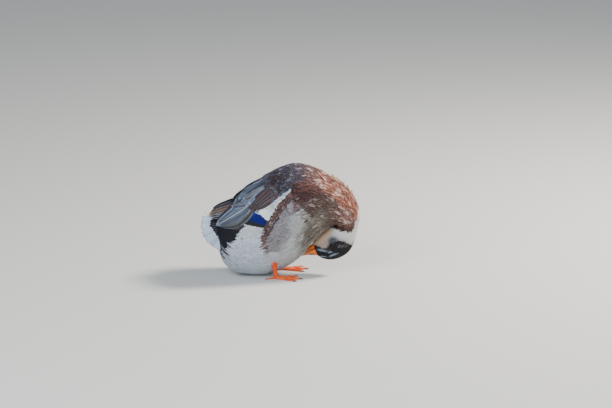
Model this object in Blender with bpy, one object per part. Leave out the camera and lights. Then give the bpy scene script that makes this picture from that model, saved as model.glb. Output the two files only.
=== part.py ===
"""A large farmyard drake that preens its belly: the solid parts of a still, life-size model.

Metres, +Z up, +X towards the breast, the floor at Z 0 and the bird's own right side at -Y.
The bird is one long loft from the rump over the back, round the neck to the base of the bill,
parted by thin flat cuts into trunk, neck and head. Wings, tail, legs, feet, bill and eyes meet it.
"""

import math

import bmesh
import bpy
import numpy as np
from mathutils import Matrix, Vector

MM = 0.001
GAP = 0.4 * MM
RIGHT, LEFT = -1.0, 1.0

# The loft's stations, in millimetres, from the rump to the base of the bill. Each is a flat cut across the bird:
# (back x, back z), (belly x, belly z), half width, and how far the widest level lies towards the belly.
STATIONS = (
    ((-144, 164), (-161, 80), 28, 0.00),
    ((-128, 190), (-149, 38), 54, 0.03),
    ((-103, 218), (-122, 10), 73, 0.06),
    ((-66, 242), (-80, 2.5), 86, 0.06),
    ((-28, 267), (-34, 3), 91, 0.00),
    ((3, 282.5), (6, 17), 90, -0.08),
    ((34, 290.5), (37, 37), 86, -0.04),
    ((66, 287.5), (58, 61), 80, 0.00),
    ((98, 275), (76, 86.5), 73, 0.00),
    ((134, 253), (93, 104.5), 66, 0.00),
    ((165, 230), (106, 117.5), 59, 0.00),
    ((187, 204), (118, 126.5), 51, 0.00),
    ((199, 178), (130, 130.5), 43.5, 0.00),
    ((203, 152), (138, 129), 36, 0.00),
    ((198, 124), (133, 126.5), 31.5, 0.05),
    ((193.5, 100), (121, 124.5), 29.5, 0.10),
    ((186, 79), (111, 118), 28.5, 0.15),
    ((173, 59), (102, 110), 28.5, 0.18),
    ((151, 45), (95.5, 102.5), 28, 0.20),
    ((128, 40), (90, 96), 25.5, 0.20),
    ((109.5, 43), (85.5, 91.5), 21, 0.12),
    ((96, 49.5), (81.5, 87.5), 16, 0.00),
)
RUMP_POLE = (-163, 121)
LAST_STATION = len(STATIONS) - 1
TRUNK_END, LOWER_NECK_END, NECK_END = 9, 13, 16
RINGS_PER_STATION = 2
RING_POINTS = 28

# The head leans towards the bird's right and turns its crown a little that way.
SWAY_START, SWAY_END = 11, 18
HEAD_SWAY = -4 * MM
HEAD_ROLL = math.radians(-5)
ROLL_PIVOT = Vector((0.125, 0, 0.075))

# Bill: half width, and height over and under its own middle line, from the base to the tip.
BILL_LENGTH = 62 * MM
BILL_WIDTH = (12.3, 11.8, 11.2, 11.2, 11.8, 12.6, 12.8, 11.3, 4.0)
BILL_CULMEN = (18.0, 15.0, 11.2, 8.0, 6.0, 4.8, 4.0, 3.1, 1.6)
BILL_CHIN = (12.0, 9.6, 7.0, 5.2, 4.0, 3.2, 2.6, 2.0, 1.0)
BILL_FLAT = 0.14
LOWER_BILL = 0.87
BILL_RINGS = 12
BILL_POINTS = 14
GAPE = 0.5 * MM
# The hole in the belly feathers round the bill: room to spare, a squarer oval and its points.
ROOM = 1.2 * MM
ROOM_SQUARE = 0.10
ROOM_POINTS = 20

EYE_RADIUS = 5.6 * MM
EYE_PLACE = (121.5, 73.0)
EYE_LOOK = 1.5 * MM

# Folded wing: its lower and upper edges from the shoulder to the tertials' tip, on the left side.
WING_LOWER = ((14, 83, 192), (-45, 92, 146), (-100, 78, 135), (-138, 52, 134), (-163, 34, 146))
WING_UPPER = ((18, 81, 206), (-22, 60, 244), (-80, 40, 224), (-126, 30, 190), (-164, 32, 151))
WING_BULGE = (1.0, 17.0, 17.0, 12.0, 3.0)
WING_PROUD = (0.5, 5.5, 6.0, 4.0, 1.1)
WING_DEPTH = (9.0, 9.0, 9.0, 6.0, 1.1)
WING_EDGE = 0.35
WING_ROWS, WING_COLUMNS = 15, 9

# Wing tips, crossed over the rump: their middle lines on each side, and half widths.
TIP_LINE = {
    RIGHT: ((-92, -19, 203), (-138, -15, 177), (-182, -8, 165)),
    LEFT: ((-92, 19, 204), (-137, 14, 180), (-180, 8, 171)),
}
TIP_HALF_WIDTH = (13, 11, 3.5)
TIP_HALF_THICKNESS = (3.2, 1.8, 0.7)
# The way across a wing tip and the way out of it, for the left side; the right side mirrors them.
TIP_ACROSS, TIP_UP = (0, 0.85, -0.52), (0.5, 0.45, 0.74)
TIP_RINGS, TIP_POINTS = 9, 10

TAIL_ROOT = Vector((-118, -2, 134)) * MM
TAIL_LENGTH = 88 * MM
TAIL_PITCH = math.radians(5)
TAIL_ROLL = math.radians(60)
TAIL_FAN = (math.radians(-66), math.radians(15))
TAIL_FEATHERS = 14
TAIL_CUP = 9 * MM
# The outer feathers are this much shorter than the middle ones, at the lower and the upper edge.
TAIL_SHORTER_LOW, TAIL_SHORTER_HIGH = 0.10, 0.02
TAIL_INNER = 0.12
TAIL_THICK_ROOT, TAIL_THICK_END = 5.0 * MM, 0.6 * MM
TAIL_RIDGE = 0.35 * MM
TAIL_NOTCH = 0.045
TAIL_SAMPLES, TAIL_STEPS = 4, 7
TAIL_EVEN = 0.7
TAIL_CURL = math.radians(9)

# Where each leg leaves the belly and where it stands, and the toes of a foot: turn, length and width.
ANKLE = {RIGHT: (-19, -60, 58), LEFT: (-1, 58, 58)}
HEEL = {RIGHT: (-12, -45, 9), LEFT: (4, 45, 9)}
LEG_RADII = (6.4, 5.8, 5.5, 5.7, 6.5, 8.0, 9.0, 9.0, 8.4)
LEG_SEAT = 1.5 * MM
TOES = ((-27, 54, 7.4), (0, 62, 8.0), (26, 56, 7.4))
HIND_TOE = (152, 21, 5.4)
TOE_OUT = math.radians(6)
WEB_THICKNESS = 2.2 * MM
CLAW_LENGTH = 8 * MM
CLAW_TIP = 0.4 * MM
HIND_CLAW = 0.6
TOE_RINGS = 10
TOE_POINTS = 9
CLAW_RINGS = 3
KNUCKLE = 0.10
WEB_REACH, WEB_DRAWN_IN = 0.96, 0.17
WEB_STEPS = 6
# The lump under the shank: places (along, up) from the heel, and radii.
FOOT_LINE = ((-6, 3.6), (-2, 4.4), (3, 4.4), (9, 3.4))
FOOT_RADII = (3.8, 5.6, 5.4, 4.2)
FOOT_TOP = 9 * MM
BLOCK = 40 * MM


def clear_scene():
    for obj in list(bpy.data.objects):
        bpy.data.objects.remove(obj)


def material(name, colour, roughness=0.7):
    made = bpy.data.materials.new(name)
    made.use_nodes = True
    shader = made.node_tree.nodes["Principled BSDF"]
    shader.inputs["Base Color"].default_value = (*colour, 1.0)
    shader.inputs["Roughness"].default_value = roughness
    shader.inputs["Metallic"].default_value = 0.0
    return made


def add_object(name, mesh_builder, finish=None, helper=False):
    """Links the bmesh as a named object; a helper is a cutter that isn't part of the bird."""
    mesh = bpy.data.meshes.new(name)
    bmesh.ops.recalc_face_normals(mesh_builder, faces=mesh_builder.faces)
    mesh_builder.to_mesh(mesh)
    mesh_builder.free()
    obj = bpy.data.objects.new(name, mesh)
    bpy.context.scene.collection.objects.link(obj)
    if finish:
        mesh.materials.append(finish)
        mesh.shade_smooth()
    if helper:
        obj.hide_render = True
        obj.display_type = "WIRE"
    return obj


def cut(obj, cutter):
    modifier = obj.modifiers.new("cut_" + cutter.name, "BOOLEAN")
    modifier.operation = "DIFFERENCE"
    modifier.object = cutter


def between(rows, at):
    """A smooth curve through the rows (Catmull-Rom), at a place counted in rows."""
    rows = np.asarray(rows, float)
    last = len(rows) - 1
    low = min(max(int(math.floor(at)), 0), last - 1)
    part = at - low
    p = [rows[min(max(low + k, 0), last)] for k in (-1, 0, 1, 2)]
    if low == 0:
        p[0] = 2 * p[1] - p[2]
    if low == last - 1:
        p[3] = 2 * p[2] - p[1]
    return 0.5 * (
        2 * p[1]
        + (p[2] - p[0]) * part
        + (2 * p[0] - 5 * p[1] + 4 * p[2] - p[3]) * part**2
        + (3 * p[1] - p[0] - 3 * p[2] + p[3]) * part**3
    )


def single(row, at):
    """The same curve through a row of single sizes in millimetres."""
    return between([[size] for size in row], at)[0] * MM


def ease(at, start, end):
    share = min(max((at - start) / (end - start), 0.0), 1.0)
    return share * share * (3 - 2 * share)


def swayed(point, at):
    """The neck's lean and turn to the right, which grows from the shoulders to the head."""
    share = ease(at, SWAY_START, SWAY_END)
    turn = Matrix.Rotation(HEAD_ROLL * share, 3, "X")
    return turn @ (point - ROLL_PIVOT) + ROLL_PIVOT + Vector((0, HEAD_SWAY * share, 0))


def station(at):
    """The middle, the way to the back, the half height, the half width and the bias of a cut."""
    flat = [(*back, *belly, half, bias) for back, belly, half, bias in STATIONS]
    bx, bz, vx, vz, half, bias = between(flat, at)
    back, belly = Vector((bx, 0, bz)) * MM, Vector((vx, 0, vz)) * MM
    reach = (back - belly) / 2
    return (back + belly) / 2, reach.normalized(), reach.length, half * MM, bias


def body_ring(at, grow=0.0, along=0.0):
    """One flat ring of the loft. at counts stations, grow widens it, along moves it forward."""
    middle, up, reach, half, bias = station(at)
    forward = Vector((up.z, 0, -up.x))
    ring = []
    for i in range(RING_POINTS):
        turn = 2 * math.pi * i / RING_POINTS
        rise, side = math.cos(turn), math.sin(turn)
        width = (half + grow) * side * (1 - bias * rise)
        point = middle + up * rise * (reach + grow) + forward * along
        ring.append(swayed(point + Vector((0, width, 0)), at))
    return ring


def flank(x, z, start, end):
    """Where the loft's side lies over a point of the middle plane: its station and half width."""
    place = Vector((x, 0, z)) * MM
    for _ in range(30):
        at = (start + end) / 2
        middle, up, reach, half, bias = station(at)
        ahead = (place - middle).dot(Vector((up.z, 0, -up.x)))
        start, end = (at, end) if ahead > 0 else (start, at)
    rise = (place - middle).dot(up) / reach
    return at, half * math.sqrt(max(1 - rise * rise, 0.0)) * (1 - bias * rise)


def loft(rings, start_pole=None, end_pole=None):
    """Skins closed rings of equal count, ended by flat faces or by poles."""
    bm = bmesh.new()
    loops = [[bm.verts.new(point) for point in ring] for ring in rings]
    for low, high in zip(loops, loops[1:]):
        for i in range(len(low)):
            j = (i + 1) % len(low)
            bm.faces.new((low[i], low[j], high[j], high[i]))
    for loop, pole in ((loops[0], start_pole), (loops[-1], end_pole)):
        if pole is None:
            bm.faces.new(loop)
            continue
        tip = bm.verts.new(pole)
        for i in range(len(loop)):
            bm.faces.new((loop[i], loop[(i + 1) % len(loop)], tip))
    return bm


def body_piece(start, end, grow=0.0, start_trim=0.0, end_trim=0.0):
    """The loft from one station to another, trimmed by half a gap where a neighbour follows."""
    count = round((end - start) * RINGS_PER_STATION)
    places = [start + (end - start) * i / count for i in range(count + 1)]
    trims = [start_trim] + [0.0] * (count - 1) + [-end_trim]
    rings = [body_ring(at, grow, trim) for at, trim in zip(places, trims)]
    pole = None
    if start == 0:
        x, z = RUMP_POLE
        pole = Vector((x * MM - grow, 0, z * MM))
    return loft(rings, start_pole=pole)


def lens_grid(outer, inner):
    """A closed solid from two grids of points that are joined round their borders."""
    bm = bmesh.new()
    faces = []
    sheets = [[[bm.verts.new(p) for p in row] for row in sheet] for sheet in (outer, inner)]
    rows, columns = len(outer), len(outer[0])
    for sheet in sheets:
        for i in range(rows - 1):
            for j in range(columns - 1):
                faces.append((sheet[i][j], sheet[i][j + 1], sheet[i + 1][j + 1], sheet[i + 1][j]))
    border = [(i, 0) for i in range(rows)] + [(rows - 1, j) for j in range(1, columns)]
    border += [(i, columns - 1) for i in range(rows - 2, -1, -1)]
    border += [(0, j) for j in range(columns - 2, 0, -1)]
    top, bottom = sheets
    for (i, j), (k, m) in zip(border, border[1:] + border[:1]):
        faces.append((top[i][j], top[k][m], bottom[k][m], bottom[i][j]))
    for corners in faces:
        bm.faces.new(corners)
    return bm


def build_body(plumage, white):
    """Trunk, two lengths of neck and the head, with half a gap at each cut."""
    half = GAP / 2
    trunk = add_object("trunk", body_piece(0, TRUNK_END, end_trim=half), plumage)
    add_object(
        "neck_lower",
        body_piece(TRUNK_END, LOWER_NECK_END, start_trim=half, end_trim=half),
        plumage,
    )
    add_object(
        "neck_upper",
        body_piece(LOWER_NECK_END, NECK_END, start_trim=half, end_trim=half),
        white,
    )
    head = add_object("head", body_piece(NECK_END, LAST_STATION, start_trim=half), white)
    return trunk, head


def body_cutter(start, end):
    """The body a gap larger, which trims the pieces that lie on it."""
    name = f"room_{start}_{end}"
    return add_object(name, body_piece(start, end, grow=GAP), helper=True)


def build_wing(side, name, finish, room):
    """The folded wing with its tertials: a curved plate that lies on the flank and ends free."""
    last = len(WING_LOWER) - 1
    outer, inner = [], []
    for i in range(WING_ROWS):
        at = last * i / (WING_ROWS - 1)
        low, high = (Vector(between(edge, at)) * MM for edge in (WING_LOWER, WING_UPPER))
        bulge, proud, depth = (single(row, at) for row in (WING_BULGE, WING_PROUD, WING_DEPTH))
        along = Vector(between(WING_LOWER, min(at + 0.1, last))) * MM - low if i < WING_ROWS - 1 else Vector((-1, 0, 0))
        out = (high - low).cross(along).normalized()
        out = out if out.y > 0 else -out
        outer_row, inner_row = [], []
        for j in range(WING_COLUMNS):
            share = j / (WING_COLUMNS - 1)
            arch = math.sin(math.pi * share)
            middle = low.lerp(high, share) + out * bulge * arch
            edge = WING_EDGE + (1 - WING_EDGE) * arch**0.5
            top, bottom = middle + out * proud * edge, middle - out * depth * edge
            outer_row.append(Vector((top.x, top.y * side, top.z)))
            inner_row.append(Vector((bottom.x, bottom.y * side, bottom.z)))
        outer.append(outer_row)
        inner.append(inner_row)
    cut(add_object(name, lens_grid(outer, inner), finish), room)


def build_wing_tip(side, name, finish, room):
    """The primaries' tips, one narrow blade that slants back and down over the rump."""
    mirror = Matrix.Diagonal((1, side, 1))
    across, up = (mirror @ Vector(way).normalized() for way in (TIP_ACROSS, TIP_UP))
    rings = []
    for i in range(TIP_RINGS):
        at = (len(TIP_HALF_WIDTH) - 1) * i / (TIP_RINGS - 1)
        middle = Vector(between(TIP_LINE[side], at)) * MM
        half, thick = single(TIP_HALF_WIDTH, at), single(TIP_HALF_THICKNESS, at)
        ring = []
        for k in range(TIP_POINTS):
            turn = 2 * math.pi * k / TIP_POINTS
            ring.append(middle + across * half * math.cos(turn) + up * thick * math.sin(turn))
        rings.append(ring)
    cut(add_object(name, loft(rings), finish), room)


def tail_axes():
    """Back, across (towards the upper edge, on the left) and the way the tail's own back faces."""
    back = Vector((-math.cos(TAIL_PITCH), 0, math.sin(TAIL_PITCH)))
    across = Matrix.Rotation(-TAIL_ROLL, 3, back) @ Vector((0, 1, 0))
    return back, across, across.cross(back)


def build_tail(finish, room):
    """A fan of rectrices with a round tip to each feather, cupped and rolled on its axis."""
    back, across, up = tail_axes()
    start, end = TAIL_FAN
    count = TAIL_FEATHERS * TAIL_SAMPLES
    upper, lower = [], []
    for i in range(count + 1):
        angle = start + (end - start) * i / count
        notch = abs(math.sin(math.pi * i / TAIL_SAMPLES))
        aside = (angle - (start + end) / 2) / TAIL_EVEN
        shorter = (TAIL_SHORTER_LOW if aside < 0 else TAIL_SHORTER_HIGH) * aside**2
        reach = TAIL_LENGTH * (1 - TAIL_NOTCH * (1 - notch)) * (1 - shorter)
        upper_row, lower_row = [], []
        for j in range(TAIL_STEPS):
            share = j / (TAIL_STEPS - 1)
            out = TAIL_INNER + (1 - TAIL_INNER) * share
            turn = angle + TAIL_CURL * ease(i, count - 2 * TAIL_SAMPLES, count) * share**3
            way = back * math.cos(turn) + across * math.sin(turn)
            point = TAIL_ROOT + way * reach * out - up * TAIL_CUP * aside**2 * out
            thick = (TAIL_THICK_ROOT + (TAIL_THICK_END - TAIL_THICK_ROOT) * share) / 2
            upper_row.append(point + up * (thick + TAIL_RIDGE * notch))
            lower_row.append(point - up * thick)
        upper.append(upper_row)
        lower.append(lower_row)
    cut(add_object("tail", lens_grid(upper, lower), finish), room)


def bill_frame():
    """Where the bill starts, the way it points and the way its culmen faces, from the last station."""
    (back_x, back_z), (belly_x, belly_z) = STATIONS[-1][:2]
    back, belly = Vector((back_x, 0, back_z)) * MM, Vector((belly_x, 0, belly_z)) * MM
    crown = (back - belly).normalized()
    forward = Vector((crown.z, 0, -crown.x))
    return (back + belly) / 2 + forward * GAP, forward, crown


def bill_half(upper):
    """Rings of one half of the bill: a bowed outer side, and an inner side that is nearly flat."""
    base, forward, crown = bill_frame()
    rings = []
    for i in range(BILL_RINGS):
        share = i / (BILL_RINGS - 1)
        at = share * (len(BILL_WIDTH) - 1)
        culmen, chin = single(BILL_CULMEN, at), single(BILL_CHIN, at)
        half = single(BILL_WIDTH, at) * (1.0 if upper else LOWER_BILL)
        outward, high = (crown, culmen) if upper else (-crown, chin)
        middle = base + forward * BILL_LENGTH * share
        if not upper:
            middle -= crown * (BILL_FLAT * (culmen + chin) + GAPE)
        ring = []
        for k in range(BILL_POINTS):
            turn = 2 * math.pi * k / BILL_POINTS
            rise = math.sin(turn)
            height = high * rise * (1.0 if rise > 0 else BILL_FLAT)
            point = middle + outward * height + Vector((0, half * math.cos(turn), 0))
            ring.append(swayed(point, LAST_STATION))
        rings.append(ring)
    return rings


def build_bill(finish, trunk):
    """Broad upper half and thin lower half, parted by a narrow gape; the tip parts the belly feathers."""
    upper, lower = bill_half(True), bill_half(False)
    add_object("bill_upper", loft(upper), finish)
    add_object("bill_lower", loft(lower), finish)
    cut(trunk, add_object("room_bill", loft(bill_room(upper, lower)), helper=True))


def bill_room(upper, lower):
    """Oval rings round both halves, with a gap to spare, and one more ring past the tip."""
    _, forward, crown = bill_frame()
    rings = []
    for top, bottom in zip(upper, lower):
        points = top + bottom
        middle = sum(points, Vector()) / len(points)
        heights = [(point - middle).dot(crown) for point in points]
        half = max(abs(point.y - middle.y) for point in points) + ROOM
        rise, centre = (max(heights) - min(heights)) / 2 + ROOM, (max(heights) + min(heights)) / 2
        ring = []
        for k in range(ROOM_POINTS):
            turn = 2 * math.pi * k / ROOM_POINTS
            square = 1.0 + ROOM_SQUARE * math.sin(2 * turn) ** 2
            across = Vector((0, half * math.cos(turn) * square, 0))
            ring.append(middle + crown * (centre + rise * math.sin(turn) * square) + across)
        rings.append(ring)
    rings.append([point + forward * ROOM * 1.5 for point in rings[-1]])
    return rings


def ball(radius, centre):
    bm = bmesh.new()
    bmesh.ops.create_icosphere(bm, subdivisions=3, radius=radius)
    bmesh.ops.translate(bm, verts=bm.verts, vec=centre)
    return bm


def build_eyes(finish, head):
    """Two balls, each in a socket that leaves a cap of it proud of the cheek."""
    x, z = EYE_PLACE
    at, half = flank(x, z, NECK_END, LAST_STATION)
    for side, name in ((RIGHT, "eye_right"), (LEFT, "eye_left")):
        place = Vector((x * MM, (half - EYE_RADIUS + EYE_LOOK) * side, z * MM))
        centre = swayed(place, at)
        add_object(name, ball(EYE_RADIUS, centre), finish)
        cut(head, add_object("room_" + name, ball(EYE_RADIUS + GAP, centre), helper=True))


def tube(line, radii, floor, points=12):
    """A round bar along a line of points, level underneath at the floor."""
    rings = []
    for i, (place, radius) in enumerate(zip(line, radii)):
        ahead = (line[min(i + 1, len(line) - 1)] - line[max(i - 1, 0)]).normalized()
        side = ahead.cross(Vector((0, 0, 1)))
        side = side.normalized() if side.length > 0.2 else Vector((0, 1, 0))
        up = side.cross(ahead).normalized()
        ring = []
        for k in range(points):
            turn = 2 * math.pi * k / points
            point = place + side * radius * math.cos(turn) + up * radius * math.sin(turn)
            point.z = max(point.z, floor)
            ring.append(point)
        rings.append(ring)
    return rings


def build_leg(side, name, finish, room):
    """The scaly shank from the foot up into the belly feathers, thickest at the ankle joint."""
    foot, ankle = (Vector(place[side]) * MM for place in (HEEL, ANKLE))
    last = len(LEG_RADII) - 1
    line = [foot.lerp(ankle, i / last) for i in range(last + 1)]
    line[0] = foot - (ankle - foot).normalized() * LEG_SEAT
    leg = add_object(name, loft(tube(line, [radius * MM for radius in LEG_RADII], floor=foot.z)), finish)
    cut(leg, room)


def toe_line(heel, turn, length, width):
    """The middle line and radii of one toe with its joints, from the heel to the root of the claw."""
    ahead = Vector((math.cos(turn), math.sin(turn), 0))
    line, radii = [], []
    for i in range(TOE_RINGS):
        share = i / (TOE_RINGS - 1)
        knuckle = KNUCKLE * math.cos(2 * math.pi * share * 3)
        radii.append(width / 2 * (1.12 - 0.48 * share) * (1 + knuckle))
        line.append(heel + ahead * length * share + Vector((0, 0, radii[-1] * 0.62)))
    return line, radii


def web_solid(heel, toes):
    """The skin between the front toes, its free edge drawn in between the toe tips."""
    bm = bmesh.new()
    outline = [heel + Vector((-4 * MM, 0, 0))]
    for (turn, length), (next_turn, next_length) in zip(toes, toes[1:]):
        for i in range(WEB_STEPS + 1):
            share = i / WEB_STEPS
            angle = turn + (next_turn - turn) * share
            reach = (length + (next_length - length) * share) * (WEB_REACH - WEB_DRAWN_IN * math.sin(math.pi * share))
            outline.append(heel + Vector((math.cos(angle), math.sin(angle), 0)) * reach)
    for level in (0.0, WEB_THICKNESS):
        bm.faces.new([bm.verts.new(Vector((p.x, p.y, level))) for p in outline])
    low, high = (list(face.verts) for face in bm.faces)
    for i in range(len(low)):
        j = (i + 1) % len(low)
        bm.faces.new((low[i], low[j], high[j], high[i]))
    bmesh.ops.remove_doubles(bm, verts=bm.verts, dist=1e-6)
    return bm


def build_foot(side, name, finish):
    """Three webbed toes, a short hind toe and four claws, level underneath."""
    heel = Vector(HEEL[side]) * MM
    heel.z = 0.0
    parts, turns = [], []
    for degrees, length, width in (*TOES, HIND_TOE):
        turn = math.radians(degrees) * side + TOE_OUT * side
        front = degrees < 90
        start = heel if front else heel + Vector((-3 * MM, 0, 0))
        line, radii = toe_line(start, turn, length * MM, width * MM)
        if front:
            turns.append((turn, length * MM))
        ahead = (line[-1] - line[-2]).normalized()
        root, root_radius = line[-1].copy(), radii[-1]
        for k in range(1, CLAW_RINGS + 1):
            bend = k / CLAW_RINGS
            tip = root + ahead * CLAW_LENGTH * (1.0 if front else HIND_CLAW) * bend
            tip.z = max(root.z * (1 - bend**2), CLAW_TIP) + 0.6 * MM * math.sin(math.pi * bend)
            line.append(tip)
            radii.append(root_radius * (0.86 - 0.6 * bend))
        rings = tube(line, radii, points=TOE_POINTS, floor=0.0)
        parts.append(add_object(f"{name}_toe_{degrees}", loft(rings), helper=True))
    turns.sort()
    parts.append(add_object(f"{name}_web", web_solid(heel, turns), helper=True))
    foot_line = [heel + Vector((x, 0, z)) * MM for x, z in FOOT_LINE]
    core = loft(tube(foot_line, [radius * MM for radius in FOOT_RADII], points=14, floor=0.0))
    foot = add_object(name, core, finish)
    for part in parts:
        join = foot.modifiers.new("join_" + part.name, "BOOLEAN")
        join.operation = "UNION"
        join.object = part
    # The foot ends level, a gap under the shank.
    top = bmesh.new()
    bmesh.ops.create_cube(top, size=BLOCK)
    bmesh.ops.translate(top, verts=top.verts, vec=heel + Vector((0, 0, BLOCK / 2 + FOOT_TOP - GAP)))
    cut(foot, add_object(f"room_{name}", top, helper=True))


def main():
    clear_scene()
    plumage = material("plumage", (0.42, 0.30, 0.25))
    white = material("white_plumage", (0.82, 0.79, 0.76))
    wing_grey = material("wing_grey", (0.45, 0.43, 0.42))
    dark = material("wing_tip_dark", (0.10, 0.08, 0.08))
    orange = material("orange_skin", (0.80, 0.24, 0.05), 0.45)
    bill = material("bill_horn", (0.72, 0.38, 0.08), 0.4)
    glossy = material("eye", (0.03, 0.02, 0.015), 0.08)

    trunk, head = build_body(plumage, white)
    room = body_cutter(0, TRUNK_END + 1)
    build_tail(white, room)
    build_bill(bill, trunk)
    build_eyes(glossy, head)
    for side, word in ((RIGHT, "right"), (LEFT, "left")):
        build_wing(side, "wing_" + word, wing_grey, room)
        build_wing_tip(side, "wing_tip_" + word, dark, room)
        build_leg(side, "leg_" + word, orange, room)
        build_foot(side, "foot_" + word, orange)


main()
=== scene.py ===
"""A large farmyard drake that preens its belly: skin, plumage, bill, eyes and feet over the fixed solids."""
import math

import bpy
import numpy as np
from mathutils import Matrix, Vector
from mathutils.bvhtree import BVHTree


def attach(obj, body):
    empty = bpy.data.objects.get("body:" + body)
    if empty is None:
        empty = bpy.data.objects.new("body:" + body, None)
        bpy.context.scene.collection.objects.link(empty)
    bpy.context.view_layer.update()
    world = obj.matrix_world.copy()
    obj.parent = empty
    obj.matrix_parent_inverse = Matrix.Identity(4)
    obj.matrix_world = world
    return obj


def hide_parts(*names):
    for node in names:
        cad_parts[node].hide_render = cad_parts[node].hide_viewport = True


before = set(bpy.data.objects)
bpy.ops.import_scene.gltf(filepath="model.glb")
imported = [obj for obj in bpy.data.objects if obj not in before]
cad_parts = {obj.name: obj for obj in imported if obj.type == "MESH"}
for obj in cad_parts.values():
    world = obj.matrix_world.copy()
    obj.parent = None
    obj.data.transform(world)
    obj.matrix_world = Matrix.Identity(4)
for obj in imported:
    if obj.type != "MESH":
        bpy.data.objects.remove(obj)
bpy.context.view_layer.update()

# ---------------------------------------------------------------------------------------------
# Skin: one hide from the rump over the back and round the neck to the root of the bill. It is
# lofted through the same flat stations as the solids and lies inside them by the coat's depth.
# ---------------------------------------------------------------------------------------------
MM = 0.001
# (back x, back z, belly x, belly z, half width, bias towards the belly), in millimetres.
STATIONS = np.array((
    (-144, 164, -161, 80, 28, 0.00), (-128, 190, -149, 38, 54, 0.03), (-103, 218, -122, 10, 73, 0.06),
    (-66, 242, -80, 2.5, 86, 0.06), (-28, 267, -34, 3, 91, 0.00), (3, 282.5, 6, 17, 90, -0.08),
    (34, 290.5, 37, 37, 86, -0.04), (66, 287.5, 58, 61, 80, 0.00), (98, 275, 76, 86.5, 73, 0.00),
    (134, 253, 93, 104.5, 66, 0.00), (165, 230, 106, 117.5, 59, 0.00), (187, 204, 118, 126.5, 51, 0.00),
    (199, 178, 130, 130.5, 43.5, 0.00), (203, 152, 138, 129, 36, 0.00), (198, 124, 133, 126.5, 31.5, 0.05),
    (193.5, 100, 121, 124.5, 29.5, 0.10), (186, 79, 111, 118, 28.5, 0.15), (173, 59, 102, 110, 28.5, 0.18),
    (151, 45, 95.5, 102.5, 28, 0.20), (128, 40, 90, 96, 25.5, 0.20), (109.5, 43, 85.5, 91.5, 21, 0.12),
    (96, 49.5, 81.5, 87.5, 16, 0.00)))
LAST = len(STATIONS) - 1
RUMP_POLE = np.array((-163, 121))
# The neck leans and turns to the bird's right between these two stations.
SWAY_START, SWAY_END = 11, 18
HEAD_SWAY = -4 * MM
HEAD_ROLL = math.radians(-5)
ROLL_PIVOT = np.array((0.125, 0, 0.075))
# The station of the bend between breast and throat, which no feather crosses.
CREASE = 13.6
# The coat's depth over the skin at each station, in millimetres.
COAT_DEPTH = (5, 6, 7, 7, 7, 7, 7, 6.5, 6, 6, 6, 6, 5.5, 5, 4, 3.2, 2.6, 2.1, 1.7, 1.4, 1.2, 0.9)
SKIN_RINGS, SKIN_POINTS, RUMP_RINGS = 132, 96, 9
RUMP_CLOSED = 0.995
UNDER_COAT = 0.8


def curve(rows, at):
    """Catmull-Rom through the rows, at places counted in rows."""
    rows = np.asarray(rows, float).reshape(len(rows), -1)
    at = np.asarray(at, float)
    low = np.clip(np.floor(at).astype(int), 0, len(rows) - 2)
    part = (at - low)[..., None]
    padded = np.vstack((2 * rows[0] - rows[1], rows, 2 * rows[-1] - rows[-2]))
    p0, p1, p2, p3 = (padded[low + k] for k in range(4))
    bend = (2 * p0 - 5 * p1 + 4 * p2 - p3) * part**2 + (3 * p1 - p0 - 3 * p2 + p3) * part**3
    return 0.5 * (2 * p1 + (p2 - p0) * part + bend)


def single(values, at):
    """The same curve through single numbers."""
    return curve(values, at)[..., 0]


def ease(value, start, end):
    """0 before the start, 1 past the end and smooth between them."""
    share = np.clip((np.asarray(value, float) - start) / (end - start), 0, 1)
    return share * share * (3 - 2 * share)


def unit(vectors):
    return vectors / np.maximum(np.linalg.norm(vectors, axis=-1, keepdims=True), 1e-9)


def grid(first, second):
    """Every pair of two rows of values."""
    return np.meshgrid(first, second, indexing="ij")


def full_turn(count):
    return np.linspace(0, 2 * math.pi, count, endpoint=False)


def from_back(turn):
    """A turn counted from the back down either side, from 0 to pi."""
    return np.abs(np.mod(turn + math.pi, 2 * math.pi) - math.pi)


def swayed(points, at):
    """Points with the neck's lean and turn, which grow from the shoulders to the head."""
    share = ease(at, SWAY_START, SWAY_END)
    turn = HEAD_ROLL * share
    y, z = points[..., 1] - ROLL_PIVOT[1], points[..., 2] - ROLL_PIVOT[2]
    cos, sin = np.cos(turn), np.sin(turn)
    new_y = y * cos - z * sin + ROLL_PIVOT[1] + HEAD_SWAY * share
    return np.stack((points[..., 0], new_y, y * sin + z * cos + ROLL_PIVOT[2]), axis=-1)


def form(at, turn, depth=0.0):
    """Points of the bird's outside: station, turn from the back (0) to the belly (pi), depth inside."""
    at, turn, depth = (np.asarray(v, float) for v in np.broadcast_arrays(at, turn, depth))
    rows = curve(STATIONS, np.clip(at, 0, LAST))
    back = np.stack((rows[..., 0], rows[..., 1]), axis=-1)
    belly = np.stack((rows[..., 2], rows[..., 3]), axis=-1)
    past = np.clip(-at, 0, 1)
    shrink = np.sqrt(np.maximum(1 - past**2, 0))
    middle = (back + belly) / 2
    middle = middle + (RUMP_POLE - middle) * past[..., None]
    reach = np.linalg.norm(back - belly, axis=-1) / 2
    up = (back - belly) / (2 * reach[..., None])
    rise, side = np.cos(turn), np.sin(turn)
    high = (reach - depth / MM) * shrink * rise
    wide = (rows[..., 4] - depth / MM) * shrink * side * (1 - rows[..., 5] * rise)
    points = np.stack((middle[..., 0] + up[..., 0] * high, wide, middle[..., 1] + up[..., 1] * high), axis=-1)
    return swayed(points * MM, at)


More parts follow.
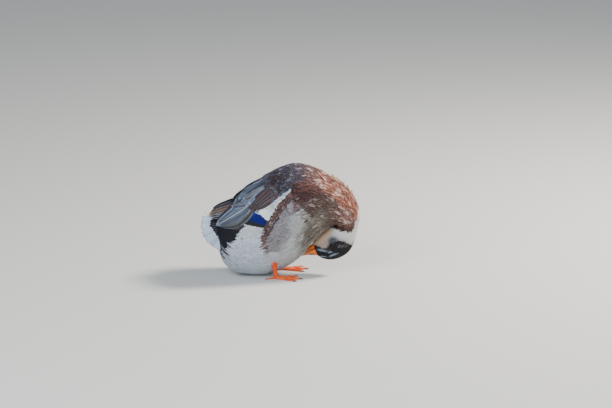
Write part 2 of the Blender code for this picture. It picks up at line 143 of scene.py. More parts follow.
def lie_of_coat(at, turn):
    """Place, way to the tail, way round the body, way out, and metres for one step of each."""
    step = 0.02
    place = form(at, turn)
    forward = (form(at + step, turn) - form(at - step, turn)) / (2 * step)
    around = (form(at, turn + step) - form(at, turn - step)) / (2 * step)
    pace, girth = np.linalg.norm(forward, axis=-1), np.linalg.norm(around, axis=-1)
    return place, -unit(forward), unit(around), unit(np.cross(forward, around)), pace, girth


def coat_depth(at):
    return single(COAT_DEPTH, np.clip(at, 0, LAST)) * MM


def colour(red, green, blue):
    """Display values from 0 to 255 as linear light."""
    value = np.array((red, green, blue)) / 255
    return np.where(value <= 0.04045, value / 12.92, ((value + 0.055) / 1.055) ** 2.4)


def add_object(name, data):
    made = bpy.data.objects.new(name, data)
    bpy.context.scene.collection.objects.link(made)
    return made


def make_mesh(name, points, faces):
    """A mesh from arrays of points and of faces with four corners, turned to face outwards."""
    faces = np.asarray(faces, np.int32)
    a, b, c, d = np.asarray(points, float)[faces].transpose(1, 0, 2)
    if (np.cross(b - a, c - a) * a).sum() + (np.cross(c - a, d - a) * a).sum() < 0:
        faces = np.ascontiguousarray(faces[:, ::-1])
    mesh = bpy.data.meshes.new(name)
    mesh.vertices.add(len(points))
    mesh.vertices.foreach_set("co", np.asarray(points, np.float32).ravel())
    mesh.loops.add(faces.size)
    mesh.loops.foreach_set("vertex_index", faces.ravel())
    mesh.polygons.add(len(faces))
    mesh.polygons.foreach_set("loop_start", np.arange(0, faces.size, faces.shape[1], dtype=np.int32))
    mesh.update(calc_edges=True)
    mesh.shade_smooth()
    return add_object(name, mesh)


def add_lofts(name, lofts):
    """A mesh of closed tubes, each from its rings of points, with a fan over each end."""
    points, faces = [], []
    for rings in lofts:
        rings = np.asarray(rings, float)
        shell = np.concatenate((rings.reshape(-1, 3), rings[0].mean(0)[None], rings[-1].mean(0)[None]))
        index = np.arange(len(shell) - 2).reshape(rings.shape[:2])
        after = np.roll(index, -1, axis=1)
        sides = np.stack((index[:-1], index[1:], after[1:], after[:-1]), axis=-1).reshape(-1, 4)
        first, last = np.full_like(index[0], len(shell) - 2), np.full_like(index[0], len(shell) - 1)
        fans = np.concatenate((np.stack((index[0], after[0], first), axis=-1),
                               np.stack((after[-1], index[-1], last), axis=-1)))
        a, b, c = shell[np.concatenate((sides[:, (0, 1, 2)], sides[:, (0, 2, 3)], fans))].transpose(1, 0, 2)
        way = -1 if (a * np.cross(b, c)).sum() < 0 else 1
        faces += (sides[:, ::way] + len(points)).tolist() + (fans[:, ::way] + len(points)).tolist()
        points += shell.tolist()
    mesh = bpy.data.meshes.new(name)
    mesh.from_pydata(points, [], faces)
    mesh.shade_smooth()
    return add_object(name, mesh)


def add_colours(obj, **layers):
    """Colour attributes of three or four numbers for each point of the mesh."""
    for name, values in layers.items():
        rows = np.ones((len(obj.data.vertices), 4), np.float32)
        rows[:, :values.shape[-1]] = values
        obj.data.attributes.new(name, "FLOAT_COLOR", "POINT").data.foreach_set("color", rows.ravel())


def add_uv(obj, name, places):
    """A UV map from one place for each point of the mesh."""
    corners = np.empty(len(obj.data.loops), np.int32)
    obj.data.loops.foreach_get("vertex_index", corners)
    layer = obj.data.uv_layers.new(name=name)
    layer.data.foreach_set("uv", np.asarray(places, np.float32)[corners].ravel())


def finish_piece(obj, material, slot, *nodes):
    """Gives a piece its material and ties it to the frame."""
    obj.data.materials.clear()
    obj.data.materials.append(material)
    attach(obj, "root")
    if nodes:
        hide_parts(*nodes)


class Shade:
    """A node's output. Sums, products and comparisons of it add their own Math nodes."""

    def __init__(self, tree, socket):
        self.tree, self.socket = tree, socket

    def output(self, name):
        """Another output of the same node."""
        return Shade(self.tree, self.socket.node.outputs[name])

    def math(self, operation, other=0.5):
        return add_node(self.tree, "ShaderNodeMath", {"operation": operation}, {0: self, 1: other})

    def __add__(self, other):
        return self.math("ADD", other)

    def __sub__(self, other):
        return self.math("SUBTRACT", other)

    def __rsub__(self, other):
        return add_node(self.tree, "ShaderNodeMath", {"operation": "SUBTRACT"}, {0: other, 1: self})

    def __mul__(self, other):
        return self.math("MULTIPLY", other)

    def __truediv__(self, other):
        return self.math("DIVIDE", other)

    def __abs__(self):
        return self.math("ABSOLUTE")

    __radd__, __rmul__ = __add__, __mul__

    def between(self, low, high):
        """0 under low, 1 over high and smooth between them."""
        return add_node(self.tree, "ShaderNodeMapRange", {"interpolation_type": "SMOOTHSTEP"},
                        Value=self, From_Min=low, From_Max=high)


def plug(tree, socket, value):
    """Links a shade to a socket, or sets the socket's own value."""
    if isinstance(value, Shade):
        tree.links.new(value.socket, socket)
    else:
        socket.default_value = value


def feed(tree, node, **sockets):
    """Links or sets a node's inputs by name."""
    for name, value in sockets.items():
        plug(tree, node.inputs[name.replace("_", " ")], value)


def add_node(tree, kind, settings, numbered=(), out=0, **named):
    """Adds a node: its settings first, then the values or links of its inputs, by number or by name."""
    made = tree.nodes.new(kind)
    for name, value in settings.items():
        if name == "stops":
            for element, (place, tone) in zip(made.color_ramp.elements, value):
                element.position, element.color = place, (*tone, 1)
        else:
            setattr(made, name, value)
    for place, value in dict(numbered).items():
        plug(tree, made.inputs[place], value)
    feed(tree, made, **named)
    return Shade(tree, made.outputs[out]) if made.outputs else made


def mix(tree, share, first, second, blend="MIX"):
    """Mixes two colours, each a shade or three numbers."""
    first, second = (tone if isinstance(tone, Shade) else (*tone, 1) for tone in (first, second))
    return add_node(tree, "ShaderNodeMix", {"data_type": "RGBA", "blend_type": blend},
                    {0: share, 6: first, 7: second}, out=2)


def own_places(tree):
    """Places on a piece, in metres."""
    return add_node(tree, "ShaderNodeTexCoord", {}, out="Object")


def noise(tree, places, scale, detail=2.0, roughness=0.5):
    return add_node(tree, "ShaderNodeTexNoise", {}, Vector=places, Scale=scale, Detail=detail,
                    Roughness=roughness)


def painted(tree, layer="Core"):
    """The colour that each point of the mesh carries."""
    return add_node(tree, "ShaderNodeAttribute", {"attribute_name": layer})


def new_material(name, **constants):
    """A material with its Principled shader; constants are set on the shader's own sockets."""
    made = bpy.data.materials.new(name)
    made.use_nodes = True
    shader = made.node_tree.nodes["Principled BSDF"]
    feed(made.node_tree, shader, **constants)
    return made, made.node_tree, shader


def bump(tree, shader, height, strength, distance):
    feed(tree, shader, Normal=add_node(tree, "ShaderNodeBump", {}, Height=height, Strength=strength,
                                       Distance=distance))


def plumage(core, rim, differ, flecked=0.0):
    """A feather's middle and rim colour, how far feathers differ and how many are flecked with the rim's."""
    return np.concatenate((colour(*core), colour(*rim), (differ, flecked)))


# Markings are soft oval washes, laid over each other in this order and seen from the side: the middle
# (x, z) and the radii in millimetres, the tilt, the softness and the plumage.
BELLY_GREY = plumage((172, 178, 186), (196, 202, 210), 0.07)
WASHES = (
    ((-90, 48), (86, 92), 0, 0.30, plumage((206, 218, 232), (222, 232, 242), 0.03)),
    ((46, 84), (36, 84), -16, 0.40, plumage((178, 180, 176), (206, 208, 204), 0.08)),
    ((8, 66), (36, 54), 0, 0.45, plumage((196, 198, 200), (216, 218, 220), 0.06)),
    ((-30, 112), (15, 70), 8, 0.50, plumage((158, 158, 168), (190, 194, 204), 0.10)),
    ((-7, 104), (27, 58), -18, 0.35, plumage((136, 131, 136), (168, 166, 172), 0.14)),
    ((62, 186), (46, 26), -20, 0.60, plumage((104, 84, 80), (158, 146, 142), 0.25, 0.15)),
    ((143, 160), (82, 62), -10, 0.20, plumage((64, 42, 38), (140, 114, 104), 0.38, 0.10)),
    ((84, 116), (24, 52), -34, 0.60, plumage((112, 102, 90), (158, 150, 138), 0.26, 0.12)),
    # Next, a near-black brown where the neck bends above the collar: the neck's brown darkened by painted
    # shade of the crease.
    ((176, 126), (40, 18), 8, 0.50, plumage((46, 28, 21), (84, 58, 46), 0.22, 0.04)),
    ((20, 200), (48, 40), 20, 0.35, plumage((78, 50, 52), (120, 98, 104), 0.24, 0.08)),
    ((50, 234), (74, 42), -10, 0.30, plumage((46, 19, 22), (84, 46, 46), 0.26, 0.03)),
    ((74, 240), (34, 20), -30, 0.60, plumage((84, 42, 34), (152, 108, 98), 0.28, 0.08)),
    ((0, 262), (110, 34), 16, 0.35, plumage((38, 34, 48), (112, 106, 124), 0.22, 0.07)),
    ((174, 160), (34, 34), 0, 0.40, plumage((118, 70, 60), (206, 172, 162), 0.25, 0.25)),
)
# Small chestnut spots down the flank: the middle (x, z) and the radius.
SPOTS = ((3, 190, 8), (-6, 167, 9), (-14, 153, 8), (-27, 143, 9), (-36, 117, 8), (-40, 101, 8), (-39, 88, 8),
         (-38, 73, 7), (-34, 58, 6), (57, 149, 4), (63, 141, 4), (22, 173, 6), (40, 182, 7))
SPOT_BROWN = plumage((92, 62, 60), (134, 108, 104), 0.25, 0.12)
UNDERTAIL = plumage((10, 11, 18), (20, 24, 38), 0.2)
# Chestnut of the hind neck: its pale pink rims and flecks are partly real fringes and partly painted sunlight
# on feather tips.
CHESTNUT = plumage((138, 66, 46), (216, 162, 142), 0.38, 0.18)
PALE_BACK = plumage((84, 54, 52), (170, 136, 128), 0.28, 0.16)
# How far down each side the chestnut of the hind neck reaches, in degrees, from its first station on.
CHESTNUT_FIRST, CHESTNUT_REACH = 6, (22, 36, 46, 56, 64, 64, 57, 42, 24, 12)
COLLAR = plumage((242, 239, 236), (252, 251, 249), 0.03)
CHEEK = plumage((172, 150, 138), (200, 182, 170), 0.06)
# Throat: a buff wash lightened to peach, painted sunlight on the rim of the throat against the breast.
LIT_THROAT = plumage((238, 196, 158), (250, 222, 194), 0.05)
LILAC = plumage((190, 180, 186), (214, 206, 212), 0.04)
MID_GREY = plumage((66, 70, 78), (104, 108, 116), 0.22, 0.06)
CROWN = plumage((13, 14, 19), (32, 34, 42), 0.3)
BROW = plumage((128, 142, 160), (162, 174, 190), 0.14)
NAPE_PINK = plumage((160, 120, 114), (204, 170, 162), 0.12, 0.10)
DUSKY = plumage((64, 54, 54), (96, 84, 84), 0.15, 0.1)
# Pale streaks over the dark side of the crown: the middle (x, z), radii and tilt.
BROWS = ((106, 63.5, 13, 2.4, -9), (126.5, 58.5, 5, 2.4, 0), (135, 51, 11, 2.3, 22), (108, 46.5, 9, 1.6, -4))
# Upper limit of the dark crown and eye stripe, at even steps of x.
CROWN_FIRST, CROWN_STEP, CROWN_LINE = 92, 12, (75, 70, 70, 82, 87, 88, 87, 80, 73)
# Lines on the bird's side: a point (x, z) in millimetres, and the unit way (x, z) that leads past the line.
WING_TO_VENT, BLACK_EDGE = ((-95, 117), (-0.754, 0.656)), ((-156, 90), (-0.888, -0.46))
# Washes are drawn on a plane that is tipped by this slope, so a place far out counts as a lower one.
SIDE_SLOPE = math.tan(math.radians(13))
# Sizes in metres of the blotches that make the washes' borders ragged, and their reach in millimetres.
RAGGED_SIZE, STRAY_SIZE, STREAK_SIZE, RAGGED_REACH = 0.018, 0.007, 0.009, 12
RAGGED_SEED, STRAY_SEED = 1, 5
GRAIN_WAVES = 7


def oval(x, z, middle, radii, tilt, soft):
    """1 inside a tilted oval, 0 outside, with a soft edge."""
    tilt = math.radians(tilt)
    dx, dz = x - middle[0], z - middle[1]
    along = (dx * math.cos(tilt) + dz * math.sin(tilt)) / radii[0]
    across = (dz * math.cos(tilt) - dx * math.sin(tilt)) / radii[1]
    return 1 - ease(np.hypot(along, across), 1 - soft, 1 + soft)


def past(x, z, line):
    """How far a place lies past a line, in millimetres."""
    (line_x, line_z), (way_x, way_z) = line
    return (x - line_x) * way_x + (z - line_z) * way_z


def grain(points, size, seed):
    """Smooth noise from 0 to 1 over space, from a few crossed waves."""
    rng = np.random.default_rng(seed)
    total = np.zeros(points.shape[:-1])
    for _ in range(GRAIN_WAVES):
        wave = rng.normal(size=3) * (2 * math.pi / size)
        total += np.sin(points @ wave + rng.uniform(0, 2 * math.pi))
    return np.clip(0.5 + total / GRAIN_WAVES, 0, 1)


def markings(at, turn):
    """Each feather's plumage from its root's place: middle, rim, difference and share of flecks."""
    place, fold = form(at, turn), from_back(turn)
    x = place[..., 0] / MM
    z = place[..., 2] / MM - SIDE_SLOPE * np.abs(place[..., 1] / MM)
    ragged = (grain(place, RAGGED_SIZE, RAGGED_SEED) - 0.5) * RAGGED_REACH
    tints = np.broadcast_to(BELLY_GREY, (*x.shape, len(BELLY_GREY)))

    def lay(mask, wash):
        nonlocal tints
        tints = tints + (wash - tints) * mask[..., None]

    for middle, radii, tilt, soft, wash in WASHES:
        lay(oval(x + ragged, z + ragged, middle, radii, tilt, soft), wash)
    for spot_x, spot_z, radius in SPOTS:
        lay(oval(x + ragged * 0.5, z - ragged * 0.5, (spot_x, spot_z), (radius, radius), 0, 0.45), SPOT_BROWN)
    # Under the tail, behind a line that slants from the wing down to the vent, with stray dark feathers
    # past it.
    behind, edge = past(x, z, WING_TO_VENT), past(x, z, BLACK_EDGE)
    black = ease(behind + ragged * 1.2, -3, 3) * ease(z + ragged, 54, 66) * ease(at, 3.6, 3.0)
    lay(black * (1 - ease(edge + ragged * 0.5, -2, 3) * ease(-z, -84, -74)), UNDERTAIL)
    stray = ease(grain(place, STRAY_SIZE, STRAY_SEED), 0.60, 0.68) * ease(behind, -4, 6)
    lay(stray * ease(z, 16, 30) * ease(at, 2.2, 1.5) * ease(-z, -80, -66), UNDERTAIL)
    streaks = ease(grain(place, STREAK_SIZE, STRAY_SEED), 0.38, 0.50)
    streaks = streaks * oval(x + ragged * 0.5, z, (-150, 62), (9, 27), 34, 0.4)
    lay(streaks * ease(at, 3.0, 2.2), UNDERTAIL)
    # Back of the neck and the shoulders; the chestnut's pale pink rims and flecks are partly real pale
    # fringes and partly painted sunlight on feather tips.
    reach = np.clip(at - CHESTNUT_FIRST, 0, len(CHESTNUT_REACH) - 1)
    reach = np.radians(single(CHESTNUT_REACH, reach)) + ragged * 0.012
    upper = 1 - ease(fold - reach, -0.12, 0.12)
    lay(upper * ease(at + ragged * 0.06, 6.0, 7.4) * ease(-at, -14.5, -13), PALE_BACK)
    lay(upper * ease(at + ragged * 0.05, 7.4, 8.8) * ease(-at, -14.5, -13), CHESTNUT)
    # White collar: it starts high on the nape and low on the sides of the neck.
    start = 12.2 + 2.3 * ease(fold, math.radians(22), math.radians(66)) - 0.5 * ease(fold, 2.1, math.pi)
    collar = ease(at + ragged * 0.012, start - 0.1, start + 0.1)
    lay(collar, COLLAR)
    lay(ease(at, 15.0, 16.2) * ease(fold, 0.6, 1.3), LILAC)
    lay(ease(at, 16.0, 17.4) * ease(fold, 0.9, 1.6) * ease(-x, -150, -132), CHEEK)
    # The throat's edge, painted lighter as sunlight on its rim.
    lay(ease(at, 14.6, 15.6) * ease(fold, 1.95, 2.5) * ease(-x, -150, -130), LIT_THROAT)
    lay(oval(x + ragged * 0.6, z + ragged * 0.4, (133, 87), (14, 13), 0, 0.5) * collar, MID_GREY)
    lay(ease(at, 15.0, 16.2) * ease(-fold, -0.9, -0.2) * ease(-z, -98, -84), NAPE_PINK)
    # Dark crown and eye stripe, with pale streaks between them; the crown hangs lowest.
    top = single(CROWN_LINE, np.clip((x - CROWN_FIRST) / CROWN_STEP, 0, len(CROWN_LINE) - 1))
    lay(collar * ease(top - z + ragged * 0.4, -2, 2) * ease(at, 15.4, 16.2), CROWN)
    lay(oval(x, z + ragged * 0.3, (158, 74), (10, 5), 0, 0.6) * collar, DUSKY)
    for brow_x, brow_z, long, wide, tilt in BROWS:
        lay(oval(x, z + ragged * 0.12, (brow_x, brow_z), (long, wide), tilt, 0.45) * collar, BROW)
    return tints[..., :3], tints[..., 3:6], tints[..., 6], tints[..., 7]


def build_skin():
    rump = -np.cos(np.linspace(0, math.pi / 2, RUMP_RINGS))[:-1] * RUMP_CLOSED
    at, turn = grid(np.concatenate((rump, np.linspace(0, LAST, SKIN_RINGS))), full_turn(SKIN_POINTS))
    made = add_lofts("skin", [form(at, turn, coat_depth(at))])
    core = markings(at, turn)[0]
    ends = core[0].mean(0)[None], core[-1].mean(0)[None]
    add_colours(made, Core=np.concatenate(((core * UNDER_COAT).reshape(-1, 3), *ends)))
    return made


down, tree, shader = new_material("down_on_skin", Roughness=0.95)
fluff = noise(tree, own_places(tree), 260.0, 5.0, 0.65)
feed(tree, shader, Base_Color=mix(tree, fluff.between(0.35, 0.7) * 0.4, painted(tree), (0.5, 0.5, 0.5),
                                  "SOFT_LIGHT"))
bump(tree, shader, fluff, 0.5, 0.002)
finish_piece(build_skin(), down, "body_plumage", "trunk", "neck_lower", "neck_upper", "head")

# ---------------------------------------------------------------------------------------------
# Contour feathers: thin closed vanes, rooted in the skin and shingled towards the tail. Each
# stretch of the bird has its own size of feather, smallest on the face and longest on the belly.
# ---------------------------------------------------------------------------------------------
EYES = {"left": np.array((121.5, 19.7, 70.9)) * MM, "right": np.array((121.5, -28.0, 75.1)) * MM}
EYE_CLEAR = 5.6 * MM
# How far feathers stand off the breast, where the bill works in them, and off the back of the neck.
RUFFLE, NAPE_RUFFLE = 7.5 * MM, 7.0 * MM
RUMP_STOP = -0.55
# A vane's width at its root, the rounding of its tip, and where along it the rounding and fraying start.
ROOT_WIDTH, TIP_ROUND, TIP_FROM = 0.38, 0.42, 0.35
THINNEST, SHALLOWEST = 0.10 * MM, 0.3 * MM
# Cells of the search for roots, and how many places are tried for each one that there is room for.
SEARCH_ROWS, SEARCH_LANES, TRIES = 90, 121, 3.2
# A feather's place in the baking map: a small patch at its root's place on the unrolled stretch.
BAKE_PATCH = 0.003


def grid_faces(index):
    """Faces with four corners between the rows and columns of a grid of point numbers."""
    return np.stack((index[:-1, :-1], index[:-1, 1:], index[1:, 1:], index[1:, :-1]), axis=-1).reshape(-1, 4)


def vane_faces(rows, columns):
    """Faces of one closed vane: an upper and an under sheet that share their border."""
    top = np.arange(rows * columns).reshape(rows, columns)
    under = top.copy()
    under[1:-1, 1:-1] = rows * columns + np.arange((rows - 2) * (columns - 2)).reshape(rows - 2, columns - 2)
    return np.concatenate((grid_faces(top), grid_faces(under)[:, ::-1]))


def both_sheets(top, under):
    """The points of closed vanes: their upper sheets, then the under sheets without their borders."""
    inner = under[..., 1:-1, 1:-1, :]
    return np.concatenate([sheet.reshape(*sheet.shape[:-3], -1, sheet.shape[-1]) for sheet in (top, inner)],
                          axis=-2)


def make_vanes(name, points, rows, columns):
    """One mesh of many closed vanes; the shading of their upper sheets stays apart from the under sheets'."""
    count, each = points.shape[:2]
    faces = vane_faces(rows, columns)[None] + (np.arange(count) * each)[:, None, None]
    made = make_mesh(name, points.reshape(-1, 3), faces.reshape(-1, 4))
    border = np.ones((rows, columns), bool)
    border[1:-1, 1:-1] = False
    border = np.concatenate((border.ravel(), np.zeros(each - rows * columns, bool)))
    ends = np.empty(len(made.data.edges) * 2, np.int32)
    made.data.edges.foreach_get("vertices", ends)
    sharp = border[ends.reshape(-1, 2) % each].all(axis=1)
    made.data.attributes.new("sharp_edge", "BOOLEAN", "EDGE").data.foreach_set("value", sharp)
    return made


def scatter(low, high, gap, seed, keep):
    """Roots spread over a stretch of the bird, no two nearer than the gap."""
    rng = np.random.default_rng(seed)
    at_edges, turn_edges = np.linspace(low, high, SEARCH_ROWS), np.linspace(0, 2 * math.pi, SEARCH_LANES)
    corner = form(*grid(at_edges, turn_edges))
    sides = np.cross(corner[1:, :-1] - corner[:-1, :-1], corner[:-1, 1:] - corner[:-1, :-1])
    weight = np.linalg.norm(sides, axis=-1) / (gap * gap)
    count = int(weight.sum() * TRIES)
    cell = rng.choice(weight.size, count, p=(weight / weight.sum()).ravel())
    row, column = np.unravel_index(cell, weight.shape)
    at = at_edges[row] + rng.uniform(0, 1, count) * (at_edges[1] - at_edges[0])
    turn = turn_edges[column] + rng.uniform(0, 1, count) * (turn_edges[1] - turn_edges[0])
    if keep is not None:
        chosen = keep(at, turn)
        at, turn = at[chosen], turn[chosen]
    shelves, taken, steps = {}, [], (-1, 0, 1)
    for number, spot in enumerate(form(at, turn).tolist()):
        i, j, k = (int(math.floor(value / gap)) for value in spot)
        near = (shelves.get((i + a, j + b, k + c), ()) for a in steps for b in steps for c in steps)
        if all(math.dist(spot, other) >= gap for shelf in near for other in shelf):
            shelves.setdefault((i, j, k), []).append(spot)
            taken.append(number)
    return at[taken], turn[taken]


def each_one(values):
    """One value for each feather, ready for its rows and columns."""
    return np.asarray(values)[:, None, None]


def feather_coat(name, low, high, spacing, seed, keep=None, shape=(6, 7), longer=2.8, wider=1.9, slope=0.14,
                 lift=0.0, loose=0.1, ragged=0.05, point=0.8, camber=0.08, even_out=0.10):
    """One stretch of plumage as a single mesh of closed vanes that bend with the body."""
    rng, gap = np.random.default_rng(seed + 100), spacing * MM
    at, turn = scatter(low, high, gap, seed, keep)
    roots, tailward, _, _, pace, girth = lie_of_coat(at, turn)
    length = gap * longer * rng.normal(1, 0.10, len(at)).clip(0.75, 1.3)
    clear = np.ones(len(at), bool)
    for eye in EYES.values():
        for share in (0.0, 0.4, 0.7, 1.0):
            clear &= np.linalg.norm(roots + tailward * (length * share)[:, None] - eye, axis=-1) > EYE_CLEAR
    at, turn, pace, girth, length = (value[clear] for value in (at, turn, pace, girth, length))
    count, (rows, columns) = len(at), shape
    half = each_one(gap * wider / 2 * rng.normal(1, 0.08, count).clip(0.8, 1.25))
    heading = each_one(rng.normal(0, 0.10 + loose * 0.6, count))
    long = each_one(length)
    u = (1 - (1 - np.linspace(0, 1, rows)) ** 1.25)[None, :, None]
    v = np.linspace(-1, 1, columns)[None, None, :]
    spread = (ROOT_WIDTH + (1 - ROOT_WIDTH) * ease(u, 0, 0.45)) * (1 - (1 - point) * ease(u, 0.6, 1.0))
    # Rows must not cross each other, so a whole column is drawn in or out at the tip.
    frayed = rng.normal(0, ragged, (count, 1, columns)).clip(-0.22, 0.22) * ease(u, TIP_FROM, 1)
    along = u * (1 - TIP_ROUND * v**2 * ease(u, TIP_FROM, 1.0) + frayed) * long
    bow = each_one(rng.normal(0, 0.06 + loose * 0.8, count)) * u**2 * long
    uneven = rng.normal(0, ragged * 0.7, (count, rows, 1)).clip(-0.2, 0.2) * ease(u, 0.2, 0.6)
    across = v * spread * half * (1 + uneven) + bow
    cos, sin = np.cos(heading), np.sin(heading)
    path_at = each_one(at) - (along * cos - across * sin) / each_one(pace)
    path_turn = each_one(turn) + (along * sin + across * cos) / each_one(girth)
    # A feather that would cross the bend of the throat, or run off the rump, goes on straight from there.
    limit = each_one(np.where(at > CREASE, np.minimum(at - 0.3, CREASE + 0.25), RUMP_STOP)) + 0 * path_at
    over, held = np.maximum(limit - path_at, 0), np.maximum(path_at, limit)
    tip_depth = (SHALLOWEST + rng.gamma(2.0, even_out, count) * MM
                 - lift * MM * rng.uniform(0.2, 1, count) ** 2)
    root_depth = np.minimum(tip_depth + slope * length, coat_depth(at) * 0.95)
    fold = from_back(turn)
    tip_depth = tip_depth - RUFFLE * ease(at, 6.4, 7.8) * ease(-at, -12.9, -11.4) * ease(fold, 1.9, 2.7)
    raised = ease(at, 8.2, 9.2) * ease(-at, -12.0, -10.8) * ease(-fold, -0.9, -0.4)
    tip_depth = tip_depth - NAPE_RUFFLE * raised * rng.uniform(0, 1, count) ** 3
    curl = each_one(rng.normal(0.0, loose, count).clip(-0.10, 0.5))
    depth = each_one(tip_depth) + each_one(root_depth - tip_depth) * (1 - u) ** 1.1
    depth = depth - curl * long * 0.3 * u**3 - ((1 - v**2) * (0.3 + 0.7 * u) - 0.6) * half * camber
    depth = depth + rng.normal(0, 0.008, (count, rows, columns)) * half * ease(u, 0.3, 1)
    _, lie, _, out, _, _ = lie_of_coat(held, path_turn)
    points = form(held, path_turn, depth) + lie * (over * each_one(pace))[..., None]
    coat = make_vanes(name, both_sheets(points, points - out * (THINNEST + 0.025 * half)[..., None]),
                      rows, columns)
    # Markings are read a little down the vane, but never from the far side of the throat's bend.
    seen_at = at - 0.6 * length / pace
    core, rim, differ, fleck = markings(np.where(at > CREASE, np.maximum(seen_at, CREASE), seen_at), turn)
    tone = rng.normal(0, 1, count)[:, None] * differ[:, None]
    core, rim = core * np.exp(tone - differ[:, None] * 0.3), rim * np.exp(tone * 0.4)
    core = np.where((rng.uniform(size=count) < fleck)[:, None], rim + (1 - rim) * 0.08, core)
    own = np.stack(np.broadcast_arrays((v[0] + 1) / 2, u[0]), axis=-1)
    own = both_sheets(own, own)
    add_colours(coat, Core=np.repeat(core, len(own), axis=0), Rim=np.repeat(rim, len(own), axis=0))
    add_uv(coat, "Vane", np.tile(own, (count, 1)))
    root = np.stack(((at - low) / (high - low), np.mod(turn, 2 * math.pi) / (2 * math.pi)), axis=-1)
    patch = root[:, None] * (1 - 2 * BAKE_PATCH) + BAKE_PATCH * (own[None] + 0.5)
    add_uv(coat, "OFBake", patch.reshape(-1, 2))
    return coat


def feather_material(name, barb_scale, rim_start, shaft):
    """A vane's look: dark middle, pale rim, a thin shaft and slanting barbs, read from its own map."""
    made, tree, shader = new_material(name, Roughness=0.72, Specular_IOR_Level=0.3, Subsurface_Weight=0.5,
                                      Subsurface_Radius=(1.0, 0.9, 0.8), Subsurface_Scale=0.0025)
    core, rim = painted(tree), painted(tree, "Rim")
    own = add_node(tree, "ShaderNodeUVMap", {"uv_map": "Vane"})
    lane = add_node(tree, "ShaderNodeSeparateXYZ", {}, {0: own}, out="X")
    u = lane.output("Y")
    side = abs(lane * 2.0 - 1.0)
    soft = noise(tree, own_places(tree), 420.0, 3.0)
    place = add_node(tree, "ShaderNodeCombineXYZ", {}, X=lane * 3.0, Y=(u - side * 0.55) * barb_scale)
    streak = noise(tree, place, 1.0, 3.0, 0.6)
    edge = side.math("MAXIMUM", (u - 0.45) / 0.55)
    base = mix(tree, (edge + (soft - 0.5) * 0.25).between(rim_start, 1.0), core, rim)
    barbs = add_node(tree, "ShaderNodeValToRGB", {"stops": ((0.28, (0.58,) * 3), (0.62, (1.0,) * 3))},
                     Fac=streak)
    base = mix(tree, 1.0, base, barbs, "MULTIPLY")
    quill = (1.0 - side.between(0.03, 0.09)) * (1.0 - u.between(0.70, 0.95)) * shaft
    feed(tree, shader, Base_Color=mix(tree, quill, base, rim))
    bump(tree, shader, streak * 0.6 + (1.0 - side.between(0.0, 0.1)) * 0.6, 0.3, 0.0005)
    return made


def belly_side(at, turn):
    return from_back(turn) > 1.75 - 0.25 * ease(at, 4, 7)


def back_side(at, turn):
    return from_back(turn) < 1.84 - 0.25 * ease(at, 4, 7)


contour = feather_material("contour_feathers", barb_scale=44.0, rim_start=0.74, shaft=0.12)
small = feather_material("head_feathers", barb_scale=16.0, rim_start=0.6, shaft=0.15)
# Each stretch: its first and last station, the feathers' spacing in millimetres, a seed and their build.
COATS = (
    ("feathers_face", 18.2, 20.93, 1.8, 11, dict(shape=(4, 5), slope=0.08, loose=0.03)),
    ("feathers_head", 15.4, 18.6, 2.2, 12, dict(shape=(4, 5), slope=0.08, loose=0.04)),
    ("feathers_collar", 12.9, 15.8, 2.7, 13, dict(shape=(5, 5), longer=3.4, slope=0.07, loose=0.04)),
    ("feathers_neck", 9.6, 14.6, 3.7, 14, dict(longer=4.4, wider=1.35, slope=0.07, loose=0.09, ragged=0.09,
                                               point=0.6, lift=1.6)),
    ("feathers_breast", 6.2, 10.2, 4.4, 15, dict(longer=4.0, wider=1.5, slope=0.06, loose=0.05, ragged=0.09,
                                                 point=0.65, lift=0.8)),
    ("feathers_back", 1.2, 6.8, 5.0, 16, dict(longer=3.8, wider=1.8, slope=0.07, loose=0.04, ragged=0.08,
                                              keep=back_side)),
    ("feathers_belly", 1.2, 6.8, 3.9, 17, dict(shape=(5, 5), longer=5.2, wider=1.9, slope=0.028, loose=0.015,
                                               ragged=0.12, lift=0.15, point=0.6, camber=0.02, even_out=0.05,
                                               keep=belly_side)),
    ("feathers_rump", -0.5, 1.6, 4.0, 18, dict(shape=(5, 6), longer=4.6, wider=1.8, slope=0.05, loose=0.03,
                                               ragged=0.10)),
)
for number, (name, low, high, spacing, seed, build) in enumerate(COATS):
    coat = feather_coat(name, low, high, spacing, seed, **build)
    finish_piece(coat, *((small, "head_plumage") if number < 3 else (contour, "body_plumage")))

# ---------------------------------------------------------------------------------------------
# Wings: folded flight feathers, tertials, coverts and scapulars, laid as long stiff vanes in
# layers over a closed core. They are drawn flat, on a plane tipped a little forward, and
# pressed on the outside of the wing and flank, so that both wings carry the same pattern.
# ---------------------------------------------------------------------------------------------
# The wing's lower and upper edge from front to rear, and how far it bulges and stands off the body.
WING_LOWER = ((14, 83, 192), (-45, 92, 146), (-100, 78, 135), (-138, 52, 134), (-163, 34, 146))
WING_UPPER = ((18, 81, 206), (-22, 60, 244), (-80, 40, 224), (-126, 30, 190), (-164, 32, 151))
WING_BULGE, WING_PROUD = (1, 17, 17, 12, 3), (0.5, 5.5, 6, 4, 1.1)
WING_LAST = len(WING_LOWER) - 1
CORE_OUTER, CORE_INNER = 7.0, 14.0
# The relief is a grid of heights over the tipped plane. Vanes are laid a little under it, lowest first.
RELIEF_STEP = 3.0
RELIEF_X, RELIEF_Z = np.arange(-236, 70, RELIEF_STEP), np.arange(22, 304, RELIEF_STEP)
RELIEF_UNKNOWN, RELIEF_FAR, SPREADING, SOFTENING = 12.0, 200, 150, 12
STACK = 4.0
VANE_ROWS, VANE_LANES = 16, 9
FRAYING = np.random.default_rng(30)
VANE_U = (1 - (1 - np.linspace(0, 1, VANE_ROWS)) ** 1.5)[:, None]
VANE_V = np.linspace(-1, 1, VANE_LANES)[None, :]
VANE_OWN = np.stack(np.broadcast_arrays((VANE_V + 1) / 2, VANE_U), axis=-1)
VANE_OWN = both_sheets(VANE_OWN, VANE_OWN)
CELL_MARGIN = 0.04


